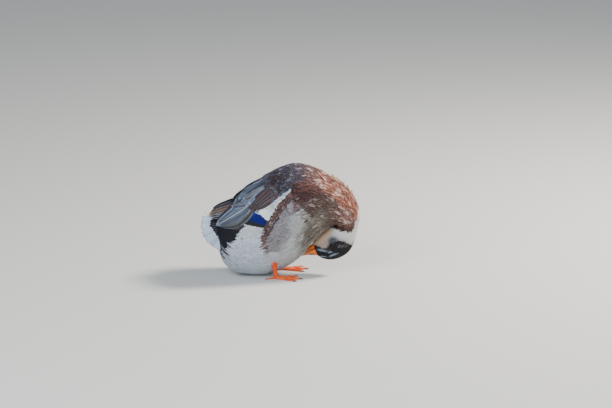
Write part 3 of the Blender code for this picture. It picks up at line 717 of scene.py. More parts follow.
def wing_side(along, share, inside=0.0):
    """The left wing's outer side in millimetres: front to rear, then lower to upper edge."""
    def edges(at):
        return curve(WING_LOWER, at), curve(WING_UPPER, at)

    at, step = along * WING_LAST, 0.05
    low, high = edges(at)
    length = sum(edges(np.clip(at + step, 0, WING_LAST))) - sum(edges(np.clip(at - step, 0, WING_LAST)))
    out = unit(np.cross(high - low, length))
    out = out * np.sign(out[..., 1:2])
    swell = np.sin(math.pi * share)[..., None]
    bulge, proud = curve(WING_BULGE, at), curve(WING_PROUD, at)
    return low + (high - low) * share[..., None] + out * (
        bulge * swell + (proud - inside) * (0.35 + 0.65 * np.sqrt(np.maximum(swell, 0))))


def neighbours(heights):
    """Each height's mean with the four beside it."""
    padded = np.pad(heights, 1, mode="edge")
    return (padded[2:, 1:-1] + padded[:-2, 1:-1] + padded[1:-1, 2:] + padded[1:-1, :-2]
            + padded[1:-1, 1:-1]) / 5


def build_relief():
    """How far out the wing and flank stand over the tipped plane, in millimetres, softened."""
    flank = form(*grid(np.linspace(-0.9, 12, 140), np.linspace(0.02, math.pi - 0.02, 80))) / MM
    points, faces = [], []
    for sheet in (wing_side(*grid(np.linspace(0, 1, 60), np.linspace(0, 1, 40))), flank):
        index = np.arange(sheet[..., 0].size).reshape(sheet.shape[:2])
        faces += (grid_faces(index) + len(points)).tolist()
        points += sheet.reshape(-1, 3).tolist()
    surface = BVHTree.FromPolygons(points, faces)
    ray = Vector((0, -1, -SIDE_SLOPE)).normalized()
    relief = np.full((len(RELIEF_X), len(RELIEF_Z)), np.nan)
    for i, x in enumerate(RELIEF_X):
        for j, z in enumerate(RELIEF_Z):
            hit = surface.ray_cast(Vector((x, RELIEF_FAR, z + RELIEF_FAR * SIDE_SLOPE)), ray)[0]
            if hit is not None and hit.y > -2:
                relief[i, j] = hit.y
    known = ~np.isnan(relief)
    filled = np.where(known, relief, RELIEF_UNKNOWN)
    for _ in range(SPREADING):
        filled = np.where(known, filled, neighbours(filled))
    soft = filled
    for _ in range(SOFTENING):
        soft = np.maximum(neighbours(soft), filled)
    return neighbours(soft)


RELIEF = build_relief()


def press(x, z, lift):
    """Points on the left side from places on the tipped plane and a lift, all in millimetres."""
    i = np.clip((x - RELIEF_X[0]) / RELIEF_STEP, 0, len(RELIEF_X) - 1.001)
    j = np.clip((z - RELIEF_Z[0]) / RELIEF_STEP, 0, len(RELIEF_Z) - 1.001)
    a, b = np.floor(i).astype(int), np.floor(j).astype(int)
    s, t = i - a, j - b
    y = (RELIEF[a, b] * (1 - s) * (1 - t) + RELIEF[a + 1, b] * s * (1 - t)
         + RELIEF[a, b + 1] * (1 - s) * t + RELIEF[a + 1, b + 1] * s * t) - STACK + lift
    return np.stack((x, y, z + SIDE_SLOPE * y), axis=-1)


def tapered(u, start, blunt):
    """A vane's width along it: whole up to the start of the tip, then rounded off."""
    return np.sqrt(np.maximum(1 - np.clip((u - start) / (1 - start), 0, 1) ** blunt, 0.004))


def stiff_vane(path, half, lift, core, rim, shaft=0.12, edge=0.25, camber=1.2, blunt=2.4, ridge=0.35,
               sides=None,
               thick=0.4, fray=0.015, taper=0.55):
    """One long vane from its shaft's path on the tipped plane; sides gives how far out the path stands."""
    path, u, v = np.asarray(path, float), VANE_U, VANE_V
    steps, last = u[:, 0] * (len(path) - 1), len(path) - 1
    middle = curve(path, steps)
    way = unit(curve(path, np.minimum(steps + 0.05, last)) - curve(path, np.maximum(steps - 0.05, 0)))
    across = np.stack((-way[:, 1], way[:, 0]), axis=-1)
    width = (0.5 + 0.5 * ease(u, 0, 0.3)) * tapered(u, taper, blunt)
    uneven = FRAYING.normal(0, fray, (VANE_ROWS, 1)) * ease(u, 0.3, 0.9)
    frayed = FRAYING.normal(0, fray, (1, VANE_LANES)) * ease(u, 0.3, 1.0)
    flat = middle[:, None] + across[:, None] * (v * width * half * (1 + uneven))[..., None]
    flat = flat + way[:, None] * (frayed * half * 2.0)[..., None]
    x, z = flat[..., 0], flat[..., 1]
    rise = lift[0] + (lift[1] - lift[0]) * u + camber * (1 - v**2) * u**0.5 + ridge * (v == 0)
    if sides is None:
        top, under = press(x, z, rise), press(x, z, rise - thick)
    else:
        out = single(sides, u[:, 0] * (len(sides) - 1))[:, None]
        top, under = (np.stack((x, out + level, z + SIDE_SLOPE * (out + level)), axis=-1)
                      for level in (rise, rise - thick))
    return both_sheets(top, under) * MM, (*core, shaft), (*rim, edge)


def join_vanes(name, vanes, side):
    """One mesh of stiff vanes, on the left (1) or the right (-1), each with its cell in the baking map."""
    points, cores, rims = (np.array(column) for column in zip(*vanes))
    count, each = points.shape[:2]
    made = make_vanes(name, points * (1, side, 1), VANE_ROWS, VANE_LANES)
    add_colours(made, Core=np.repeat(cores, each, axis=0), Rim=np.repeat(rims, each, axis=0))
    add_uv(made, "Vane", np.tile(VANE_OWN, (count, 1)))
    cells = math.ceil(math.sqrt(count))
    corner = np.array([(number % cells, number // cells) for number in range(count)])
    cell = (corner[:, None] + CELL_MARGIN + VANE_OWN[None] * (1 - 2 * CELL_MARGIN))
    add_uv(made, "OFBake", (cell / (cells, math.ceil(count / cells))).reshape(-1, 2))
    return made


def fan(first, last, count, half, lift, core, rim, seed=1, stray=0.6, vary=0.12, **look):
    """Vanes between two paths; each lies a little over the one before it."""
    rng = np.random.default_rng(seed)
    first, last = np.asarray(first, float), np.asarray(last, float)
    halves = np.linspace(*half, count) if isinstance(half, tuple) else np.full(count, half)
    made = []
    for number in range(count):
        path = first + (last - first) * (number / max(count - 1, 1)) + rng.normal(0, stray, first.shape)
        tone = math.exp(rng.normal(0, vary))
        step = 0.22 * (number % 4)
        made.append(stiff_vane(path, halves[number] * rng.uniform(0.93, 1.07),
                               (lift[0] + step, lift[1] + step),
                               np.array(core) * tone, np.array(rim) * math.exp(rng.normal(0, vary * 0.5)),
                               **look))
    return made


def field(outline, spacing, size, way, lift, palettes, seed, **look):
    """Short vanes that fill an outline on the tipped plane, laid from front to rear."""
    rng, way = np.random.default_rng(seed), math.radians(way)
    outline = np.asarray(outline, float)
    edges = np.stack((outline, np.roll(outline, -1, axis=0) - outline), axis=1)
    starts, ways = edges[edges[:, 1, 1] != 0].transpose(1, 0, 2)
    found = []
    for point in rng.uniform(outline.min(0), outline.max(0), (FIELD_TRIES, 2)):
        crossing = (starts[:, 1] > point[1]) != (starts[:, 1] + ways[:, 1] > point[1])
        reach = starts[:, 0] + (point[1] - starts[:, 1]) / ways[:, 1] * ways[:, 0]
        if (crossing & (point[0] < reach)).sum() % 2 and all(
                np.hypot(*(point - other)) > spacing for other in found):
            found.append(point)
    made = []
    for point in sorted(found, key=lambda p: p @ np.array((math.cos(way), math.sin(way)))):
        heading = way + rng.normal(0, 0.10)
        step = np.array((math.cos(heading), math.sin(heading))) * size[0] * rng.uniform(0.9, 1.1)
        core, rim = palettes[rng.integers(len(palettes))]
        tone = math.exp(rng.normal(0, 0.15))
        rise = rng.uniform(0, 0.6)
        made.append(stiff_vane((point - step * 0.5, point, point + step * 0.5),
                               size[1] * rng.uniform(0.9, 1.1),
                               (lift[0] + rise, lift[1] + rise), core * tone, rim, **look))
    return made


def wing_core(side):
    along, share = grid(np.linspace(0.01, 0.99, 40), np.linspace(0, 1, 24))
    rings = (wing_side(along, share, CORE_OUTER), wing_side(along, share, CORE_INNER)[:, ::-1])
    return add_lofts("wing_core_" + ("left" if side > 0 else "right"),
                     [np.concatenate(rings, axis=1) * (1, side, 1) * MM])


def flight_material(name, rough=0.55, metallic=0.0, banded=False):
    """Stiff vanes: the middle's alpha is the shaft's strength and the rim's alpha is its width."""
    made, tree, shader = new_material(name, Roughness=rough, Metallic=metallic, Specular_IOR_Level=0.3)
    core, rim = painted(tree), painted(tree, "Rim")
    own = add_node(tree, "ShaderNodeUVMap", {"uv_map": "Vane"})
    lane = add_node(tree, "ShaderNodeSeparateXYZ", {}, {0: own}, out="X")
    u, width = lane.output("Y"), rim.output("Alpha")
    side = abs(lane * 2.0 - 1.0)
    barb_place = add_node(tree, "ShaderNodeCombineXYZ", {}, X=lane * 2.0, Y=(u - side * 0.30) * 120.0)
    streak_place = add_node(tree, "ShaderNodeCombineXYZ", {}, X=lane * 13.0, Y=u * 1.6, Z=lane * 5.0)
    barbs = noise(tree, barb_place, 1.0, 2.0, 0.5)
    streaks = noise(tree, streak_place, 1.0, 3.0, 0.65)
    soft = noise(tree, own_places(tree), 110.0, 4.0)
    edge = side.math("MAXIMUM", (u - 0.55) / 0.45) + (soft - 0.5) * 0.3
    share = ((edge - (1.0 - width)) / (width * 0.5 + 0.02)).math("MAXIMUM", 0.0).math("MINIMUM", 1.0)
    share = share.math("MAXIMUM", streaks.between(0.46, 0.66) * (0.25 if banded else 0.65)
                       * u.between(0.0, 0.35))
    base = mix(tree, share, core, rim)
    if banded:
        base = mix(tree, u.between(0.74, 0.79), base, (0.004, 0.004, 0.006))
        base = mix(tree, u.between(0.945, 0.965), base, (0.75, 0.77, 0.80))
        feed(tree, shader, Metallic=(1.0 - u.between(0.74, 0.79)) * metallic)
    shade = add_node(tree, "ShaderNodeValToRGB", {"stops": ((0.30, (0.72,) * 3), (0.70, (1.0,) * 3))},
                     Fac=barbs)
    base = mix(tree, 1.0, base, shade, "MULTIPLY")
    quill = (1.0 - side.between(0.03, 0.10)) * (1.0 - u.between(0.80, 1.0)) * core.output("Alpha")
    feed(tree, shader, Base_Color=mix(tree, quill, base, (0.55, 0.55, 0.55)))
    bump(tree, shader, barbs, 0.35, 0.0006)
    return made


# Paths run from root to tip, as places (across, up) on the tipped plane, in millimetres.
# The four longest feathers: path, half width, how far out the path stands, lift, middle and rim.
PRIMARIES = (
    (((-106, 189), (-144, 178), (-172.5, 169)), 6.0, (28, 17, 9), (0.2, 0.2), (26, 27, 36), (60, 62, 76)),
    (((-108, 183), (-147, 170.5), (-178, 159)), 6.5, (30, 19, 10), (0.6, 0.8), (40, 34, 38), (128, 104, 94)),
    (((-109, 175), (-149, 163.5), (-182.6, 152.2)), 7.0, (32, 21, 11), (1.0, 1.4), (36, 30, 34),
     (150, 122, 108)),
    (((-106, 167.5), (-146, 155), (-178, 150)), 6.0, (34, 24, 12), (0.6, 0.8), (28, 30, 38), (128, 142, 162)),
)
# Two white feathers of the far wing that stand a little over the back: path, and how far out it stands.
RAISED = ((((-74, 221), (-90, 216), (-104, 208)), (22, 20, 18)),
          (((-80, 214), (-98, 208), (-111, 197)), (24, 21, 18)))
WHITE, DOWN = colour(214, 222, 232), colour(196, 200, 206)
PALE_EDGE, DUSK_EDGE, LILAC_EDGE = colour(132, 148, 174), colour(92, 102, 122), colour(150, 152, 176)
OLIVE, SLATE, INK = colour(72, 70, 68), colour(72, 82, 98), colour(30, 34, 52)
UMBER, BISTRE = colour(52, 38, 44), colour(86, 66, 72)
EARTH, ASH = colour(96, 72, 70), colour(140, 136, 146)
MIRROR, MIRROR_RIM = colour(6, 24, 108), colour(4, 16, 72)
SOFT = dict(edge=0.2, shaft=0.0, blunt=1.6, camber=0.4, ridge=0.0, thick=0.25, fray=0.05)
FIELD_TRIES = 4000
# The tuft over the top of each leg; the left leg stands further ahead and further out of the belly.
TUFT = ((-36, 52), (-22, 60), (-4, 54), (-6, 37), (-20, 35), (-32, 38))
TUFT_STEP, TUFT_FLARE = {1: 18, -1: 0}, {1: 13.0, -1: 6.5}


def wing_vanes():
    """The left wing's secondaries, coverts with tertials, scapulars and small coverts."""
    secondaries = fan(((-43, 177), (-64, 155), (-91, 128.5)), ((-25, 155), (-32.5, 139), (-39.5, 119.5)),
                      10, 7.4,
                      (0.3, 1.6), MIRROR, MIRROR_RIM, seed=2, vary=0.05, stray=0.3, edge=0.1, shaft=0.0)
    coverts = fan(((-43, 180), (-50, 171), (-62, 162)), ((-33, 178), (-40, 166), (-52, 158)), 3, 4.5,
                  (1.6, 2.2),
                  INK * 0.4, WHITE, seed=3, edge=0.30)
    coverts += fan(((-30, 188), (-42, 174), (-53, 160)), ((4, 168), (-14, 153), (-34, 142.5)), 8, (6.5, 7.5),
                   (2.0, 2.8), WHITE, WHITE, seed=4, vary=0.03, shaft=0.1)
    coverts += fan(((-8, 196), (-22, 183), (-34, 172)), ((6, 182), (-8, 168), (-20, 156)), 5, 6.0, (2.8, 3.4),
                   WHITE * 0.9, WHITE, seed=5, vary=0.04, shaft=0.1)
    stripe = field(((24, 221), (15, 208), (-6, 186), (-18, 172), (-30, 176), (-14, 192), (12, 218)), 3.8,
                   (18, 4.0),
                   230, (2.4, 4.4), ((WHITE * 0.75, WHITE), (WHITE * 0.6, WHITE)), 6, **SOFT)
    tertials = fan(((-68, 166), (-92, 146), (-112, 132), (-132, 126)),
                   ((-68, 172), (-96, 148), (-122, 134), (-150, 127)),
                   3, (11, 14), (2.0, 2.6), OLIVE * 0.6, DUSK_EDGE, seed=7, stray=0.2, edge=0.14, blunt=1.6)
    tertials += [
        stiff_vane(((-74, 184), (-101, 166), (-130, 147.5), (-163, 128.5)), 19.5, (3.0, 3.6), SLATE * 0.8,
                   PALE_EDGE,
                   shaft=0.5, edge=0.22, camber=2.0, blunt=1.35, taper=0.42),
        stiff_vane(((-62, 196), (-88, 186), (-107, 182), (-123, 178)), 9, (4.6, 5.0), SLATE * 0.7, LILAC_EDGE,
                   shaft=0.2, edge=0.2, blunt=1.5)]
    scapulars = fan(((-70, 224), (-96, 205), (-112, 186), (-118, 180)),
                    ((-34, 242), (-72, 226), (-96, 208), (-114, 194)),
                    4, (6.5, 8.0), (4.0, 4.4), INK, PALE_EDGE, seed=8, edge=0.2, vary=0.25, blunt=1.5,
                    taper=0.45)
    scapulars += fan(((-18, 199), (-40, 186), (-62, 172)), ((-34, 214), (-58, 192), (-78, 170)), 3, 11,
                     (4.4, 4.8),
                     UMBER * 0.7, BISTRE * 0.8, seed=9, edge=0.12, blunt=1.5, vary=0.25)
    scapulars += fan(((-12, 206), (-36, 188), (-56, 174)), ((-28, 226), (-52, 202), (-72, 180)), 4, 10,
                     (5.0, 5.4),
                     UMBER * 0.8, BISTRE * 0.8, seed=10, edge=0.12, blunt=1.5, vary=0.3)
    scapulars += [stiff_vane(path, half, lift, core, rim, shaft=shaft, edge=edge, blunt=1.4, taper=0.4)
                  for path, half, lift, core, rim, shaft, edge in (
        (((-26, 222), (-48, 203), (-70, 188), (-87, 181)), 8.5, (3.0, 6.0), SLATE * 1.3, PALE_EDGE * 1.1,
         0.2, 0.26),
        (((-30, 243), (-52, 222), (-74, 206), (-94, 197)), 12, (2.0, 6.4), OLIVE * 1.2, PALE_EDGE, 0.2, 0.24),
        (((-40, 246), (-66, 228), (-88, 213), (-106, 198)), 10, (2.0, 6.0), SLATE, PALE_EDGE, 0.2, 0.24),
        (((-24, 240), (-42, 217), (-62, 198), (-82, 186)), 11, (2.4, 6.8), SLATE * 1.5, PALE_EDGE * 1.05,
         0.1, 0.32))]
    shoulder = field(((-36, 254), (-31, 212), (-13, 196), (14, 219), (30, 230), (24, 264)), 4.0,
                     (25, 4.6), 219,
                     (0.4, 5.6), ((UMBER, UMBER * 2.0), (INK * 1.2, SLATE), (UMBER * 0.6, UMBER),
                                  (SLATE * 0.7, SLATE * 1.2), (UMBER * 0.7, BISTRE)), 11, **SOFT)
    flank = field(((8, 140), (-10, 122), (-26, 120), (-16, 146), (0, 164), (16, 186), (36, 196),
                   (34, 172)), 4.0,
                  (21, 4.4), 228, (0.4, 4.6),
                  ((ASH * 0.8, ASH * 1.1), (ASH, ASH * 1.3), (ASH * 0.6, ASH * 0.9)), 12,
                  **SOFT)
    flank += field(((26, 218), (16, 204), (0, 188), (-11, 172), (-16, 158), (-26, 148), (-37, 122),
                    (-42, 106),
                    (-29, 104), (-16, 128), (-2, 148), (8, 168), (22, 184), (34, 206)), 3.8, (20, 4.2),
                   230, (0.4, 5.2),
                   ((EARTH * 0.7, EARTH), (EARTH * 0.5, EARTH * 0.8), (EARTH, EARTH * 1.5),
                    (UMBER, EARTH)), 15, **SOFT)
    vent = field(((-34, 120), (-60, 120), (-84, 123), (-93, 120), (-97, 108), (-60, 101), (-34, 106)),
                 3.4, (19, 4.4),
                 208, (0.4, 4.2), ((WHITE * 0.85, WHITE * 0.95), (WHITE * 0.8, WHITE * 0.9)), 13, **SOFT)
    return secondaries, coverts + tertials, scapulars, stripe + shoulder + flank + vent


flight = flight_material("flight_feathers")
mirror_blue = flight_material("speculum_feathers", rough=0.38, metallic=0.55, banded=True)
dark_down, _, _ = new_material("wing_underside", Roughness=0.9, Base_Color=(*colour(46, 42, 48), 1))
secondaries, coverts, scapulars, small_coverts = wing_vanes()
primaries = [stiff_vane(path, half, lift, colour(*core), colour(*rim), shaft=0.5, edge=0.3, sides=sides)
             for path, half, sides, lift, core, rim in PRIMARIES]
for word, side in (("left", 1), ("right", -1)):
    finish_piece(wing_core(side), dark_down, "wing_plumage", "wing_" + word)
    finish_piece(join_vanes("primaries_" + word, primaries, side), flight, "wing_tips", "wing_tip_" + word)
    for name, vanes, look in (("speculum_", secondaries, mirror_blue), ("coverts_", coverts, flight),
                              ("scapulars_", scapulars, flight), ("small_coverts_", small_coverts, contour)):
        finish_piece(join_vanes(name + word, vanes, side), look, "wing_plumage")
    trousers = field([(x + TUFT_STEP[side], z) for x, z in TUFT], 2.7, (22, 3.1), 240,
                     (0.5, TUFT_FLARE[side]),
                     ((DOWN * 0.86, DOWN), (DOWN * 0.76, DOWN * 0.93)), 14, **SOFT)
    finish_piece(join_vanes("trousers_" + word, trousers, side), contour, "body_plumage")
raised = [stiff_vane(path, 4.0, (0.0, 0.0), WHITE, WHITE, sides=sides, edge=0.2) for path, sides in RAISED]
finish_piece(join_vanes("raised_feathers", raised, 1), flight, "wing_plumage")

# ---------------------------------------------------------------------------------------------
# Tail: fourteen stiff white feathers in a cupped fan that is rolled on its axis, the topmost
# curling up, with long black coverts over and under its root.
# ---------------------------------------------------------------------------------------------
TAIL_ROOT, TAIL_LENGTH = np.array((-118, -2, 134)) * MM, 88 * MM
TAIL_PITCH, TAIL_ROLL = math.radians(5), math.radians(60)
TAIL_FAN = (math.radians(-66), math.radians(15))
TAIL_FEATHERS = 14
# The fan's white is dulled and tinted blue as painted shade, and its rims are painted a darker blue-grey
# shade.
TAIL_SHADED_WHITE, TAIL_SHADED_EDGE = WHITE * np.array((0.72, 0.78, 0.86)), colour(150, 166, 190)
COVERT_BLACK, COVERT_SHEEN = colour(12, 12, 20), colour(26, 30, 48)
TAIL_CUP, TAIL_CURL = 9 * MM, math.radians(9)
TAIL_MIDDLE = sum(TAIL_FAN) / 2
# How much shorter the outermost feathers are, under and over the middle of the fan.
TAIL_SHORTER_LOW, TAIL_SHORTER_HIGH = 0.10, 0.02
TAIL_COVERT_COUNT = 11
TAIL_BACK = np.array((-math.cos(TAIL_PITCH), 0, math.sin(TAIL_PITCH)))
TAIL_ACROSS = np.array(Matrix.Rotation(-TAIL_ROLL, 3, Vector(TAIL_BACK)) @ Vector((0, 1, 0)))
TAIL_UP = np.cross(TAIL_ACROSS, TAIL_BACK)


def tail_vane(angle, reach, half, lift, core, rim, edge, blunt, curl=0.0, start=0.12, shaft=0.2):
    """One vane of the fan, from its angle to the middle line and its reach from the tail's root."""
    u, v = VANE_U, VANE_V
    share = start + (1 - start) * u
    width = (0.55 + 0.45 * ease(u, 0, 0.5)) * tapered(u, 0.7, blunt)
    turn = angle + curl * share**3 + 0 * v
    along = TAIL_BACK * np.cos(turn)[..., None] + TAIL_ACROSS * np.sin(turn)[..., None]
    aside = TAIL_ACROSS * np.cos(turn)[..., None] - TAIL_BACK * np.sin(turn)[..., None]
    away = half * width * v
    cup = TAIL_CUP * ((turn + away / (reach * share) - TAIL_MIDDLE) / 0.7) ** 2 * share
    level = lift + 0.8 * MM * (1 - v**2) + 0.3 * MM * (v == 0) - cup
    top = TAIL_ROOT + along * (reach * share + 0 * v)[..., None] + aside * away[..., None]
    top = top + TAIL_UP * level[..., None]
    return both_sheets(top, top - TAIL_UP * (0.4 * MM)), (*core, shaft), (*rim, edge)


def build_tail_vanes():
    rng = np.random.default_rng(21)
    rectrices, coverts = [], []
    for number in range(TAIL_FEATHERS):
        place = (number + 0.5) / TAIL_FEATHERS
        angle = TAIL_FAN[0] + (TAIL_FAN[1] - TAIL_FAN[0]) * place
        shorter = TAIL_SHORTER_LOW if angle < TAIL_MIDDLE else TAIL_SHORTER_HIGH
        reach = TAIL_LENGTH * (0.99 - shorter * ((angle - TAIL_MIDDLE) / 0.7) ** 2) * rng.uniform(0.97, 1.0)
        lift = (1.6 - 3.2 * abs(place - 0.5)) * MM + 0.35 * MM * (number % 2)
        tone = math.exp(rng.normal(0, 0.12))
        curl = TAIL_CURL * max(0.0, place - 0.88) / 0.08
        half, blunt = (4.5, 1.3) if number == TAIL_FEATHERS - 1 else (8.4, 3.0)
        # Each feather takes the white and the rims painted in blue shade.
        rectrices.append(tail_vane(angle, reach, half * MM, lift, TAIL_SHADED_WHITE * tone, TAIL_SHADED_EDGE, 0.16,
                                   blunt, curl,
                                   shaft=0.15))
    for face in (1, -1):
        for number in range(TAIL_COVERT_COUNT):
            place = (number + 0.5) / TAIL_COVERT_COUNT
            angle = TAIL_FAN[0] + (TAIL_FAN[1] - TAIL_FAN[0]) * place + rng.normal(0, 0.03)
            reach = (rng.uniform(50, 58) + 12 * place) * MM
            coverts.append(tail_vane(angle, reach, 7.5 * MM, face * (3.0 + 0.5 * (number % 3)) * MM,
                                     COVERT_BLACK,
                                     COVERT_SHEEN, 0.2, 1.4, start=0.02))
    return rectrices, coverts


rectrices, tail_coverts = build_tail_vanes()
finish_piece(join_vanes("tail_feathers", rectrices, 1), flight, "tail_plumage", "tail")
finish_piece(join_vanes("tail_coverts", tail_coverts, 1), flight, "tail_plumage")

# ---------------------------------------------------------------------------------------------
# Bill: two horny halves parted by a narrow gape, with a nostril each side, a nail at the tip
# and a comb of fine ridges along the cutting edge of the lower half.
# ---------------------------------------------------------------------------------------------
BILL_LENGTH, BILL_GAP = 62 * MM, 0.4 * MM
BILL_WIDTH = (12.3, 11.8, 11.2, 11.2, 11.8, 12.6, 12.8, 11.3, 4.0)
BILL_CULMEN = (18.0, 15.0, 11.2, 8.0, 6.0, 4.8, 4.0, 3.1, 1.6)
BILL_CHIN = (12.0, 9.6, 7.0, 5.2, 4.0, 3.2, 2.6, 2.0, 1.0)
BILL_FLAT, GAPE, LOWER_WIDTH = 0.14, 0.5 * MM, 0.87
BILL_RINGS, BILL_POINTS = 84, 72
NOSTRIL_AT, NOSTRIL_TURN, NOSTRIL_LONG, NOSTRIL_HIGH = 0.235, math.radians(52), 0.040, 0.13
NAIL_RISE = 0.5 * MM
BILL_BACK, BILL_BELLY = (np.array((x, 0, z)) * MM for x, z in (STATIONS[-1][:2], STATIONS[-1][2:4]))
BILL_UP = unit(BILL_BACK - BILL_BELLY)
BILL_AHEAD = np.array((BILL_UP[2], 0, -BILL_UP[0]))
BILL_BASE = (BILL_BACK + BILL_BELLY) / 2 + BILL_AHEAD * BILL_GAP
ORANGE, AMBER = colour(212, 102, 24), colour(172, 108, 32)
OLIVE_HORN, NAIL = colour(92, 70, 26), colour(44, 36, 28)
# The comb: rings of the lower half that carry a ridge, points of a ring at its two edges, and a ridge's size.
COMB_RINGS, COMB_EDGES = np.linspace(8, 74, 46).astype(int), ((0, 1), (36, -1))
COMB_RIDGE = dict(Length=0.0004, Width=0.0012, Rise=0.0011)
COMB_UP, COMB_IN = 0.35 * MM, 0.3 * MM


def bill_half(upper):
    """Rings of one half, and how far along and how high up each point is."""
    share, turn = np.linspace(0, 1, BILL_RINGS)[:, None], full_turn(BILL_POINTS)[None, :]
    culmen, chin, half = (single(row, share * (len(row) - 1)) * MM
                          for row in (BILL_CULMEN, BILL_CHIN, BILL_WIDTH))
    half = half * (1 if upper else LOWER_WIDTH)
    rise = np.sin(turn) + 0 * share
    high = (culmen if upper else chin) * rise * np.where(rise > 0, 1.0, BILL_FLAT)
    nostril = 0 * high
    middle = BILL_BASE + BILL_AHEAD * (BILL_LENGTH * share)[..., None]
    if upper:
        steep = np.minimum(np.abs(turn - NOSTRIL_TURN), np.abs(turn - (math.pi - NOSTRIL_TURN)))
        nostril = np.exp(-((share - NOSTRIL_AT) / NOSTRIL_LONG) ** 4 - (steep / NOSTRIL_HIGH) ** 4)
        nail = ease(share, 0.84, 0.90) * (1 - ease(np.abs(np.cos(turn)), 0.30, 0.46)) * (rise > 0)
        high = high + nail * NAIL_RISE
    else:
        middle = middle - BILL_UP * (BILL_FLAT * (culmen + chin) + GAPE)[..., None]
    dent = 1 - 0.10 * nostril
    points = middle + (BILL_UP if upper else -BILL_UP) * (high * dent)[..., None]
    points = points + np.array((0, 1, 0)) * (half * np.cos(turn) * dent)[..., None]
    return swayed(points, LAST), share + 0 * turn, rise, nostril


def bill_colours(share, rise, nostril, upper):
    """Orange at the base and amber towards the tip; the upper half has an olive saddle and a dark nail."""
    tone = ORANGE + (AMBER - ORANGE) * (ease(share, 0.1, 0.5) * 0.6)[..., None]
    if upper:
        saddle = ease(rise, 0.25, 0.8) * ease(share, 0.06, 0.2) * (1 - 0.5 * ease(share, 0.7, 0.95))
        tone = tone + (OLIVE_HORN - tone) * (saddle * 0.85)[..., None]
        tone = tone + (NAIL - tone) * (ease(share, 0.88, 0.93) * ease(rise, 0.7, 0.9) * 0.8)[..., None]
        # The nostril is painted dark as the shade inside its opening.
        tone = tone + (NAIL * 0.5 - tone) * (nostril * 0.9)[..., None]
    return tone


horn, tree, shader = new_material("bill_horn", Roughness=0.42)
mottle = noise(tree, own_places(tree), 150.0, 6.0, 0.6)
feed(tree, shader, Base_Color=mix(tree, mottle.between(0.42, 0.68) * 0.35, painted(tree),
                                  colour(110, 62, 20)),
     Roughness=mottle * 0.25 + 0.32)
bump(tree, shader, mottle, 0.25, 0.0006)
for name, upper in (("bill_upper", True), ("bill_lower", False)):
    rings, *places = bill_half(upper)
    half = add_lofts(name, [rings])
    tones = bill_colours(*places, upper).reshape(-1, 3)
    add_colours(half, Core=np.concatenate((tones, tones[:1], tones[-1:])))
    finish_piece(half, horn, "bill", name)


def repeat_tree(name, shape, shape_sizes, material, **sizes):
    """A node tree that sets one shape on every point, turned by its 'facing' and scaled by its 'breadth'."""
    tree = bpy.data.node_groups.new(name, "GeometryNodeTree")
    tree.interface.new_socket("Points", in_out="INPUT", socket_type="NodeSocketGeometry")
    for label, value in sizes.items():
        tree.interface.new_socket(label, in_out="INPUT", socket_type="NodeSocketFloat").default_value = value
    tree.interface.new_socket("Geometry", in_out="OUTPUT", socket_type="NodeSocketGeometry")
    points = add_node(tree, "NodeGroupInput", {}, out="Points")
    size = add_node(tree, "ShaderNodeCombineXYZ", {}, X=points.output("Length"), Y=points.output("Width"),
                    Z=points.output("Rise"))
    body = add_node(tree, shape, {}, out="Mesh", **shape_sizes)
    scaled = add_node(tree, "GeometryNodeTransform", {}, Geometry=body, Scale=size)
    smooth = add_node(tree, "GeometryNodeSetShadeSmooth", {}, Geometry=scaled)
    facing, breadth = (
        add_node(tree, "GeometryNodeInputNamedAttribute", {"data_type": kind}, out="Attribute", Name=label)
        for kind, label in (("FLOAT_VECTOR", "facing"), ("FLOAT", "breadth")))
    turned = add_node(tree, "FunctionNodeEulerToRotation", {}, {0: facing})
    placed = add_node(tree, "GeometryNodeInstanceOnPoints", {}, Points=points, Instance=smooth,
                      Rotation=turned,
                      Scale=breadth)
    real = add_node(tree, "GeometryNodeRealizeInstances", {}, Geometry=placed)
    finished = add_node(tree, "GeometryNodeSetMaterial", {}, Geometry=real, Material=material)
    add_node(tree, "NodeGroupOutput", {}, Geometry=finished)
    return tree


def set_on_points(name, tree, places, turns, breadths, **sizes):
    """Runs a repeating tree on its points, and keeps the result as a plain mesh."""
    mesh = bpy.data.meshes.new(name + "_points")
    mesh.from_pydata(np.asarray(places, float).tolist(), [], [])
    for label, kind, values in (("facing", "FLOAT_VECTOR", turns), ("breadth", "FLOAT", breadths)):
        layer = mesh.attributes.new(label, kind, "POINT")
        layer.data.foreach_set("vector" if kind == "FLOAT_VECTOR" else "value",
                               np.ravel(values).astype(np.float32))
    holder = add_object(name + "_points", mesh)
    modifier = holder.modifiers.new(name, "NODES")
    modifier.node_group = tree
    for item in tree.interface.items_tree:
        if item.in_out == "INPUT" and item.name in sizes:
            modifier[item.identifier] = sizes[item.name]
    made = bpy.data.meshes.new_from_object(holder.evaluated_get(bpy.context.evaluated_depsgraph_get()))
    bpy.data.objects.remove(holder)
    return add_object(name, made)


def facing_angles(normals, ways):
    """Euler turns that set local Z on the normals and local X along the ways."""
    turns = []
    for normal, way in zip(normals, ways):
        z = Vector(normal).normalized()
        x = (Vector(way) - z * Vector(way).dot(z)).normalized()
        turns.append(tuple(Matrix((x, z.cross(x), z)).transposed().to_euler()))
    return np.array(turns)


comb_tree = repeat_tree("comb_ridges", "GeometryNodeMeshCube", {}, horn, **COMB_RIDGE)
lower = bill_half(False)[0]
places = [lower[ring, edge] + BILL_UP * COMB_UP - np.array((0, COMB_IN * side, 0))
          for ring in COMB_RINGS for edge, side in COMB_EDGES]
turns = facing_angles([BILL_UP] * len(places), [BILL_AHEAD] * len(places))
comb = set_on_points("bill_comb", comb_tree, places, turns, np.ones(len(places)), **COMB_RIDGE)
add_colours(comb, Core=colour(196, 120, 50))
finish_piece(comb, horn, "bill")

